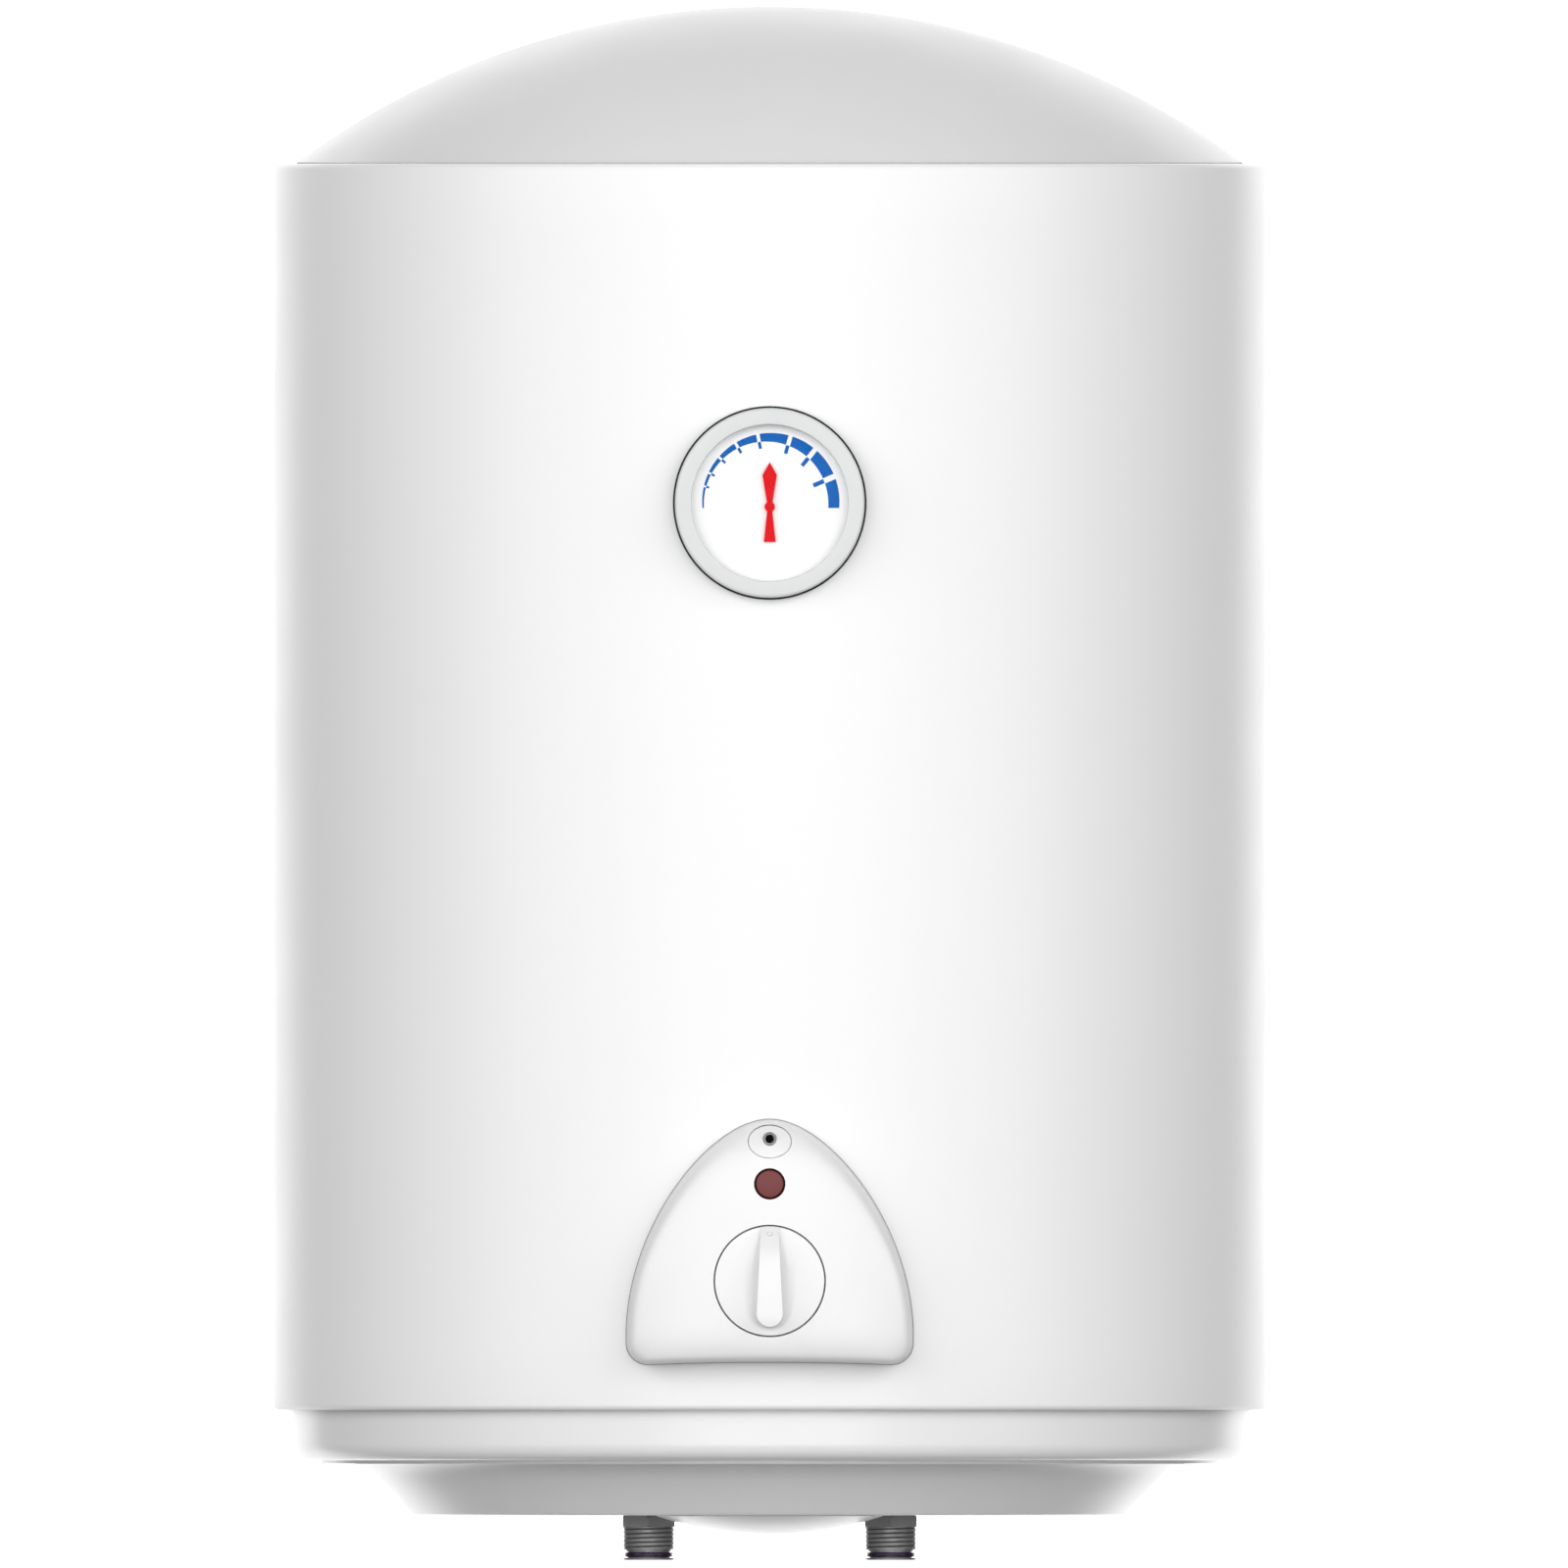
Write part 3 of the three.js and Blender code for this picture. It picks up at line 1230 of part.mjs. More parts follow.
/** Pointer: an arrow up, a hub and a flared tail, on the pivot. */
function gaugePointer() {
  const front = pointerBack + pointerThickness;
  const needle = new THREE.Shape();
  needle.moveTo(0, pointerTip);
  needle.lineTo(-pointerShoulder, pointerShoulderHeight);
  needle.lineTo(-pointerWaist, 0);
  needle.lineTo(pointerWaist, 0);
  needle.lineTo(pointerShoulder, pointerShoulderHeight);
  const tail = new THREE.Shape();
  tail.moveTo(-pointerWaist, 0);
  tail.lineTo(-pointerTailHalf, -pointerTail);
  tail.lineTo(pointerTailHalf, -pointerTail);
  tail.lineTo(pointerWaist, 0);
  const solids = [needle, tail].map((outline) => plateFront(outline, pointerBack, front));
  solids.push(barFront(pointerHub, pointerBack, front, smallFacets));
  return cut(join(solids), [barFront(pivotRadius + seatGap, 0, gaugeFront, smallFacets)]);
}

/** Bimetal coil that turns the spindle: a flat spiral strip behind the dial. */
function bimetalCoil() {
  const inner = pivotRadius + seatGap + coilStrip;
  const outer = gaugeCaseRadius - gaugeCaseWall - pivotDrop - runningGap;
  const steps = coilTurns * coilStepsPerTurn;
  const strip = (shift) => {
    const points = [];
    for (let i = 0; i <= steps; i += 1) {
      const angle = (2 * Math.PI * i) / coilStepsPerTurn;
      const radius = inner + ((outer - inner) * i) / steps + shift;
      points.push(new THREE.Vector2(radius * Math.cos(angle), radius * Math.sin(angle)));
    }
    return points;
  };
  const outline = new THREE.Shape([...strip(0), ...strip(-coilStrip).reverse()]);
  return plateFront(outline, -coilWidth, 0);
}

/** Thermometer, in a group at the jacket's front line and the gauge's height. */
function thermometer() {
  const group = new THREE.Group();
  group.position.set(0, -jacketRadius, gaugeHeight);
  piece(group, 'gauge_case', gaugeCase(), blackPlastic);
  piece(group, 'gauge_bezel', gaugeBezel(), bezelGrey);
  piece(group, 'gauge_dial', gaugeDial(), dialWhite);
  piece(group, 'gauge_glass', barFront(gaugeInnerRadius - seatGap, glassFront - glassThickness, glassFront, mediumFacets), clearGlass);
  const pivot = new THREE.Group();
  pivot.position.set(0, 0, -pivotDrop);
  piece(pivot, 'gauge_pointer', gaugePointer(), pointerRed);
  const spindle = barFront(pivotRadius, seatGap - gaugeCaseDepth - pivotDepth, pointerBack + pointerThickness + seatGap, smallFacets);
  piece(pivot, 'gauge_spindle', spindle, bareSteel);
  piece(pivot, 'bimetal_coil', bimetalCoil(), brassMetal);
  group.add(pivot);
  return group;
}

// ---------------------------------------------------------------- wall side
/** Wall bracket: a bent steel strap with two hook slots, its legs welded to the tank. */
function wallBracket() {
  const [half, plane] = [wallPlateHalfWidth, jacketRadius + wallGap];
  const [bend, inner] = [wallPlateBend, wallPlateBend - wallPlateThickness];
  const outline = [
    [-half, 0],
    [-half + wallPlateThickness, 0],
    ...arc(-half + bend, plane - bend, inner, 180, 90, 3),
    ...arc(half - bend, plane - bend, inner, 90, 0, 3),
    [half - wallPlateThickness, 0],
    [half, 0],
    ...arc(half - bend, plane - bend, bend, 0, 90, 4),
    ...arc(-half + bend, plane - bend, bend, 90, 180, 4),
  ];
  const strap = plate(new THREE.Shape(outline.map((p) => new THREE.Vector2(...p))), -wallPlateHeight / 2, wallPlateHeight / 2);
  const slot = roundedRectangle(0, 0, hookSlotWidth, hookSlotHeight, hookSlotWidth / 2 - 0.01);
  const slots = [-1, 1].map((side) => plateFront(slot, -plane - throughCut, -plane + throughCut, 6)
    .translate((side * hookSlotSpacing) / 2, 0, 0));
  return cut(strap, [bar(tankRadius + seatGap, -wallPlateHeight, wallPlateHeight, largeFacets), ...slots]);
}

/** Lower wall spacer: a block that keeps the heater upright, on a stem through the jacket. */
function lowerWallSpacer() {
  const plane = jacketRadius + wallGap;
  const half = spacerWidth / 2;
  const block = box([-half, jacketRadius - throughCut, spacerHeight - spacerTall / 2], [half, plane, spacerHeight + spacerTall / 2]);
  const trimmed = cut(block, [bar(jacketRadius + seatGap, 0, spacerHeight + spacerTall, largeFacets)]);
  return join([trimmed, spacerStemBar(0)]);
}

/** Pieces between the heater and the wall. */
function wallSide() {
  const group = new THREE.Group();
  piece(group, 'wall_bracket', wallBracket(), bareSteel).position.set(0, 0, bracketHeight);
  piece(group, 'lower_wall_spacer', lowerWallSpacer(), blackPlastic);
  return group;
}

// ---------------------------------------------------------------- assembly
const heater = new THREE.Group();
heater.position.set(0, heaterSetBack, -bracketHeight);
heater.add(casing(), tankAndPipes(), flangeUnit(), controls(), thermometer(), wallSide());
piece(heater, 'thermostat_capillary', thermostatCapillary(), copperMetal);

const waterHeater = new THREE.Group();
waterHeater.add(heater);

export default waterHeater;
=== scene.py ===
"""Visible model of a wall-hung tank water heater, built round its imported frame.

Sizes are in millimetres. Heights count from the jacket's bottom edge and depths count forwards
from the jacket's front line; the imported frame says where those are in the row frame, in metres.
"""

from __future__ import annotations
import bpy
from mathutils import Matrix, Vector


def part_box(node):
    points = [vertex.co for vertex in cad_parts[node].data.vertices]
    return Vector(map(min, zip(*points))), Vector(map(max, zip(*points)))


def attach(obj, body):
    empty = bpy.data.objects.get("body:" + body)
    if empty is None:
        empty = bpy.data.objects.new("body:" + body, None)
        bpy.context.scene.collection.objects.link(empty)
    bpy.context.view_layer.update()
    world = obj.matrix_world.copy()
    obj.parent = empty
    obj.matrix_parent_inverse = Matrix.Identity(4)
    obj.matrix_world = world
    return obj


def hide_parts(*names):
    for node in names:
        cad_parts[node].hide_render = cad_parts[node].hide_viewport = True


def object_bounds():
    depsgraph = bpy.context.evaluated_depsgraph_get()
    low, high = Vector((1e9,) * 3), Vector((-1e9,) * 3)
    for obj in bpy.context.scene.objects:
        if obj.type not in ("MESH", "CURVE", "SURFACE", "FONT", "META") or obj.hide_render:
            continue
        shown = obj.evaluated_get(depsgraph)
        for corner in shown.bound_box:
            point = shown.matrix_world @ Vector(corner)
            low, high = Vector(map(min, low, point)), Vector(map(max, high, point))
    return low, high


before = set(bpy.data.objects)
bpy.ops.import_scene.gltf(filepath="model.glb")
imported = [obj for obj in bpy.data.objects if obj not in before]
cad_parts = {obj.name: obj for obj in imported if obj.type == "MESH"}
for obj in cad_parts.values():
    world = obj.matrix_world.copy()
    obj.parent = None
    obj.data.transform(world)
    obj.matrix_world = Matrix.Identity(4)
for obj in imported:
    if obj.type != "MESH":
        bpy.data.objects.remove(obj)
CAD_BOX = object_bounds()

import logging
import math
from dataclasses import dataclass, field
from enum import Enum
from typing import Any, Iterable, Optional

import bmesh
import bpy
from mathutils import Matrix, Vector
from mathutils.geometry import interpolate_bezier

LOG = logging.getLogger("water_heater")

MM = 0.001
DRUM = 205.0  # the jacket's radius
ROUND_STEPS = 192  # round the drum
RING_STEPS = 128  # round the gauge and the service cover
DISC_STEPS = 96  # round the knob
ROD_STEPS = 64  # round rods and the lens
PIPE_STEPS = 48  # round pipes and small rings
FEW_STEPS = 32  # round spindles and the screw
SHARP = math.radians(28)  # edges that turn more than this stay crisp
FLAT = math.radians(1)  # packed faces that turn less than this are one
SEAM = 1e-4  # corners closer than this are one
WELD = 1e-3  # and this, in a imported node
HAIR = 1e-5  # corners closer than this to a gap's edge lie on it
GAP = 0.3  # between pieces that touch
FAR = 60.0  # how far a cutting tool runs past what it cuts
CORNER_STEPS = 5  # in an outline's rounded corner
BEVEL = {"profile": 0.5, "clamp_overlap": True, "material": -1}  # a round that keeps its finish

Thing = bpy.types.Object
Socket = bpy.types.NodeSocket
Mesh = bmesh.types.BMesh
Pair = tuple[float, float]
Point = tuple[float, float, float]  # or a linear colour
Corner = tuple[float, ...]  # place, height and, where it is rounded, how far it is cut back
Inputs = dict[str | int, Any]  # sockets that are linked and values that are set


class Body(Enum):
    """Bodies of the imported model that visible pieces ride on."""

    HEATER = "heater"
    KNOB = "knob"
    POINTER = "pointer"


class Grain(Enum):
    """How a surface's fine relief runs: scale, detail and stretch of its pattern."""

    ORANGE_PEEL = (260.0, 1.0, None)  # of a baked enamel
    MOULDED = (1800.0, 2.0, None)  # fine texture of a plastic mould
    TURNED = (1.0, 3.0, (60.0, 60.0, 5200.0))  # rings round the upright axis
    ROLLED = (1.0, 4.0, (40.0, 900.0, 1400.0))  # streaks along a rolled sheet
    CAST = (900.0, 6.0, None)  # grit of a cast or sprayed surface
    CELLS = (900.0, 0.0, None)  # cells of a rigid foam


class Join(Enum):
    """Ways to combine two solids."""

    CUT = "DIFFERENCE"
    FUSE = "UNION"
    COMMON = "INTERSECT"


# ---------------- finishes
class Board:
    """Node tree of one material, with its surface shader and its Object coordinates."""

    def __init__(self, name: str) -> None:
        """Starts a material.

        Args:
            name: its name.
        """
        self.material = bpy.data.materials.new(name)
        self.material.use_nodes = True
        self.nodes = self.material.node_tree.nodes
        self.shader = self.nodes["Principled BSDF"]
        self.place = self.add("TexCoord", "Object")

    def feed(self, node: bpy.types.Node, inputs: Inputs) -> None:
        """Links or sets a node's inputs.

        Args:
            node: the node.
            inputs: what each of its inputs gets.
        """
        for name, given in inputs.items():
            if isinstance(given, Socket):
                self.material.node_tree.links.new(given, node.inputs[name])
            else:
                node.inputs[name].default_value = given

    def add(self, kind: str, output: str, inputs: Optional[Inputs] = None) -> Socket:
        """Adds a node.

        Args:
            kind: the node's type.
            output: the output that is wanted.
            inputs: what its inputs get.

        Returns:
            The output.
        """
        node = self.nodes.new(f"ShaderNode{kind}")
        self.feed(node, inputs or {})
        return node.outputs[output]

    def mapped(self, scale: Point, centre: Point = (0.0, 0.0, 0.0)) -> Socket:
        """Returns the coordinates, stretched about a centre in metres."""
        start = [-c * s for c, s in zip(centre, scale)]
        return self.add("Mapping", "Vector", {"Vector": self.place, "Scale": scale, "Location": start})

    def noise(self, scale: float, detail: float, place: Optional[Socket] = None) -> Socket:
        """Returns noise of so many patches per metre, with so many finer layers."""
        inputs = {"Vector": place or self.place, "Scale": scale, "Detail": detail}
        return self.add("TexNoise", "Fac", inputs)

    def ranged(self, value: Socket, ends: Pair, goals: Pair = (0.0, 1.0)) -> Socket:
        """Returns a value spread from one range to another, without passing its ends."""
        limits = zip(("From Min", "From Max", "To Min", "To Max"), (*ends, *goals))
        return self.add("MapRange", "Result", {"Value": value, **dict(limits)})

    def between(self, share: Socket, first: Point, second: Point) -> Socket:
        """Mixes two colours.

        Args:
            share: how much of the second colour there is.
            first: the colour at 0.
            second: the colour at 1.

        Returns:
            The mixed colour.
        """
        node = self.nodes.new("ShaderNodeMix")
        node.data_type = "RGBA"
        colours = [socket for socket in node.inputs if socket.type == "RGBA"]
        for socket, colour in zip(colours, (first, second)):
            socket.default_value = (*colour, 1.0)
        self.feed(node, {"Factor": share})
        return next(socket for socket in node.outputs if socket.type == "RGBA")

    def joined(self, share: Socket, first: Socket, second: Socket) -> Socket:
        """Returns a mix of two shaders, the second by its share."""
        return self.add("MixShader", "Shader", {0: share, 1: first, 2: second})


@dataclass(frozen=True)
class Finish:
    """A surface, by its colour, gloss and fine relief."""

    name: str
    colour: Point
    shade: float = 0.97  # the colour's share that its darker patches keep
    patches: float = 9.0  # tone patches per metre
    roughness: float = 0.35
    spread: float = 0.04  # how far the roughness strays either way
    grain: Grain = Grain.MOULDED
    relief: float = 0.006  # its height
    metallic: float = 0.0
    specular: float = 0.5
    bend: float = 1.5  # refractive index
    slot: str = ""  # another name that the finish carries, where that isn't its name
    finer: float = 6.0  # how much finer the gloss varies than the tone
    tone_ends: Pair = (0.35, 0.65)  # noise that becomes the tone's two ends
    gloss_ends: Pair = (0.3, 0.7)  # and the gloss's

    def material(self) -> bpy.types.Material:
        """Returns the finish's material, made on its first use."""
        title = f"{self.name}_finish"
        made = bpy.data.materials.get(title)
        if made is None:
            board = Board(title)
            self.wire(board)
            made = board.material
        return made

    def wire(self, board: Board) -> None:
        """Wires the finish's colour, gloss and relief.

        Args:
            board: the material's node tree.
        """
        gloss = board.noise(self.patches * self.finer, 3.0)
        stray = (self.roughness - self.spread, self.roughness + self.spread)
        relief = {"Height": self.pattern(board), "Distance": self.relief * MM}
        board.feed(board.shader, {
            "Metallic": self.metallic,
            "Specular IOR Level": self.specular,
            "IOR": self.bend,
            "Base Color": self.tone(board),
            "Roughness": board.ranged(gloss, self.gloss_ends, stray),
            "Normal": board.add("Bump", "Normal", relief),
        })

    def tone(self, board: Board) -> Socket:
        """Makes the colour a little uneven over the surface.

        Args:
            board: the material's node tree.

        Returns:
            The colour.
        """
        darker = tuple(part * self.shade for part in self.colour)
        patches = board.ranged(board.noise(self.patches, 4.0), self.tone_ends)
        return board.between(patches, self.colour, darker)

    def pattern(self, board: Board) -> Socket:
        """Adds the relief's pattern.

        Args:
            board: the material's node tree.

        Returns:
            The pattern for the finish's grain.
        """
        scale, detail, stretch = self.grain.value
        if self.grain is Grain.CELLS:
            return board.add("TexVoronoi", "Distance", {"Scale": scale, "Vector": board.place})
        return board.noise(scale, detail, board.mapped(stretch) if stretch else None)


@dataclass(frozen=True)
class LensFinish(Finish):
    """Red lens with painted shade that darkens it towards its rim."""

    centre: Point = (0.0, 0.0, 0.0)  # the lens's middle in metres
    core: float = 5.25  # radius of the plain middle
    rim: float = 5.65  # radius where the painted rim shade is full
    rim_shade_colour: Point = (0.035, 0.0, 0.002)

    def tone(self, board: Board) -> Socket:
        """Paints shade on the lens that deepens with the distance from its middle.

        Args:
            board: the material's node tree.

        Returns:
            The lens colour with its painted rim shade.
        """
        length = board.nodes.new("ShaderNodeVectorMath")
        length.operation = "LENGTH"
        board.feed(length, {0: board.mapped((1.0, 0.0, 1.0), self.centre)})
        share = board.ranged(length.outputs["Value"], (self.core * MM, self.rim * MM))
        # painted shade: the lens darkens towards its sloping rim
        return board.between(share, self.colour, self.rim_shade_colour)


@dataclass(frozen=True)
class GlassFinish(Finish):
    """Clear window glass: a mirror that is faint from the front, over a clear pane."""

    def wire(self, board: Board) -> None:
        """Wires the glass, with a clear way for light to what it covers.

        Args:
            board: the material's node tree.
        """
        super().wire(board)
        facing = board.add("Fresnel", "Fac", {"IOR": self.bend})
        shadow = board.add("LightPath", "Is Shadow Ray")
        clear = board.add("BsdfTransparent", "BSDF")
        pane = board.joined(facing, clear, board.shader.outputs["BSDF"])
        board.feed(board.nodes["Material Output"], {"Surface": board.joined(shadow, pane, clear)})


ENAMEL = Finish("white_enamel", (0.90, 0.90, 0.90), 0.99, 3.0, 0.37, 0.02, Grain.ORANGE_PEEL, 0.002)
# the cap's plastic is greyer than the white plastic: partly its own grey-white, partly painted shade on
# the dome, which faces away from the lamps
CAP_PLASTIC_AND_SHADE = Finish("grey_white_plastic", (0.78, 0.78, 0.78), 0.99, 4.0, 0.40, 0.02, relief=0.001)
WHITE_PLASTIC = Finish("white_plastic", (0.83, 0.83, 0.83), 0.99, 6.0, 0.30, 0.02, relief=0.001, bend=1.7)
FOAM = Finish("foam", (0.72, 0.6, 0.26), 0.8, 30.0, 0.9, 0.05, Grain.CELLS, 0.4)
TANK_ENAMEL = Finish("tank_enamel", (0.04, 0.085, 0.15), 0.85, 12.0, 0.35, 0.08, Grain.ORANGE_PEEL, 0.02)
BARE_STEEL = Finish("bare_steel", (0.42, 0.43, 0.44), 0.88, 40.0, 0.36, 0.08, Grain.ROLLED, 0.004, 1.0)
DARK_STEEL = Finish("dark_steel", (0.36, 0.36, 0.365), 0.85, 60.0, 0.45, 0.08, Grain.TURNED, 0.006, 0.8)
BLACK_SCREW = Finish("black_screw", (0.008, 0.008, 0.009), 0.8, 90.0, 0.6, 0.08, specular=0.2,
                     slot="dark_steel")
EYELET_GREY = Finish("eyelet_grey", (0.26, 0.25, 0.25), 0.9, 90.0, 0.5, 0.06, slot="bare_steel")
DARK_BAND = Finish("dark_band", (0.035, 0.012, 0.06), 0.8, 80.0, 0.3, 0.06, Grain.TURNED, 0.004, 0.3)
BRASS = Finish("brass", (0.56, 0.38, 0.12), 0.85, 60.0, 0.3, 0.08, Grain.ROLLED, 0.003, 1.0)
COPPER = Finish("copper", (0.6, 0.24, 0.13), 0.8, 40.0, 0.32, 0.08, Grain.ROLLED, 0.004, 1.0)
MAGNESIUM = Finish("magnesium", (0.3, 0.31, 0.32), 0.8, 60.0, 0.6, 0.08, Grain.CAST, 0.05, 0.9)
RUBBER = Finish("black_rubber", (0.012, 0.012, 0.013), 0.8, 60.0, 0.75, 0.08, Grain.CAST, 0.01)
BLACK_PLASTIC = Finish("black_plastic", (0.02, 0.02, 0.022), 0.85, 30.0, 0.45, 0.06, relief=0.01)
RED_PLASTIC = Finish("red_plastic", (0.5, 0.008, 0.01), 0.85, 60.0, 0.35, 0.05)
CERAMIC = Finish("white_ceramic", (0.78, 0.75, 0.66), 0.93, 60.0, 0.45, 0.08, Grain.CAST, 0.01)
CLEAR_GLASS = GlassFinish("clear_glass", (1.0, 1.0, 1.0), 0.995, 5.0, 0.03, 0.01, Grain.ORANGE_PEEL,
                          0.0005, 1.0, bend=1.08)
DIAL_WHITE = Finish("dial_white", (0.93, 0.93, 0.93), 0.99, 30.0, 0.5, 0.05, Grain.CAST, 0.002)
BEZEL_GREY = Finish("bezel_grey", (0.69, 0.705, 0.70), 0.985, 12.0, 0.38, 0.04, relief=0.003)
POINTER_RED = Finish("pointer_red", (0.74, 0.006, 0.012), 0.95, 60.0, 0.55, 0.05, specular=0.06)
LAMP_ORANGE = Finish("lamp_orange", (0.7, 0.2, 0.05), 0.9, 80.0, 0.15, 0.03)
SCALE_BLUE = Finish("scale_blue", (0.012, 0.132, 0.49), 0.96, 80.0, 0.6, 0.05, Grain.CAST, 0.002,
                    specular=0.05)
# grey of the cover's seal, which also paints the shadow line round the cover's rim
SEAL_AND_SHADOW_GREY = Finish("seal_grey_and_shadow_line", (0.3, 0.3, 0.3), 0.9, 50.0, 0.8, 0.05, Grain.CAST, 0.004,
                   slot="black_rubber")


# ---------------- modelling
def put(name: str, data: bpy.types.ID) -> Thing:
    """Returns a new object with its data, linked to the scene."""
    made = bpy.data.objects.new(name, data)
    bpy.context.scene.collection.objects.link(made)
    return made


def put_mesh(name: str, mesh: Mesh) -> Thing:
    """Makes a mesh an object in the scene, and frees the mesh.

    Args:
        name: the object's name.
        mesh: the mesh.

    Returns:
        The object.
    """
    data = bpy.data.meshes.new(name)
    mesh.to_mesh(data)
    mesh.free()
    return put(name, data)


def corners_of(geometry: Iterable) -> list[bmesh.types.BMVert]:
    """Returns the corners among an operator's results."""
    return [item for item in geometry if isinstance(item, bmesh.types.BMVert)]


class Pen:
    """Draws a wire outline in the XZ plane, and rounds its corners when it is done."""

    def __init__(self, mesh: Mesh, x: float, z: float) -> None:
        """Sets the pen down in a mesh, at a place and a height."""
        self.mesh = mesh
        self.first = self.tip = mesh.verts.new((x, 0.0, z))
        self.rounded: list[tuple[bmesh.types.BMVert, float]] = []

    def line(self, *corners: Corner) -> Pen:
        """Draws straight sides from corner to corner.

        Args:
            corners: the corners.

        Returns:
            The pen, at the last corner.
        """
        for x, z, *rounding in corners:
            before, self.tip = self.tip, self.mesh.verts.new((x, 0.0, z))
            self.mesh.edges.new((before, self.tip))
            self.rounded += [(self.tip, width) for width in rounding]
        return self

    def arc(self, x: float, z: float, degrees: float, steps: int) -> Pen:
        """Draws an arc about a centre, anticlockwise seen from the front.

        Args:
            x: the centre's place.
            z: the centre's height.
            degrees: the angle; below zero it turns clockwise.
            steps: how many sides it has.

        Returns:
            The pen, at the arc's end.
        """
        made = bmesh.ops.spin(self.mesh, geom=[self.tip], cent=(x, 0, z), axis=(0, -1, 0),
                              angle=math.radians(degrees), steps=steps)
        self.tip = corners_of(made["geom_last"])[0]
        return self

    def dome(self, x: float, z: float, steps: int) -> Pen:
        """Draws a spherical dome's section between the axis and its rim.

        Args:
            x: the end's place: 0 if the pen is at the rim, else the rim's radius.
            z: the end's height.
            steps: how many sides it has.

        Returns:
            The pen, at the other end.
        """
        start = self.tip.co
        rim = max(start.x, x)
        top, foot = (start.z, z) if x else (z, start.z)
        rise = top - foot
        radius = (rim**2 + rise**2) / (2 * rise)
        swing = math.degrees(math.asin(rim / radius))
        return self.arc(0, top - radius, -swing if x else swing, steps)

    def curve(self, first_pull: Pair, second_pull: Pair, end: Pair, steps: int) -> Pen:
        """Draws a smooth curve.

        Args:
            first_pull: the handle that the curve leaves towards.
            second_pull: the handle that it arrives from.
            end: where it ends.
            steps: how many sides it has.

        Returns:
            The pen, at the curve's end.
        """
        knots = [Vector((x, 0, z)) for x, z in (first_pull, second_pull, end)]
        points = interpolate_bezier(self.tip.co, *knots, steps + 1)
        return self.line(*((point.x, point.z) for point in points[1:]))

    def close(self) -> None:
        """Joins the outline's ends, unless they lie on the axis, and rounds its corners."""
        if self.first.co.x:
            self.mesh.edges.new((self.tip, self.first))
        self.done()

    def done(self) -> None:
        """Rounds the outline's corners, and leaves it open."""
        for corner, width in self.rounded:
            bmesh.ops.bevel(self.mesh, geom=[corner], offset=width, segments=CORNER_STEPS,
                            affect="VERTICES", **BEVEL)


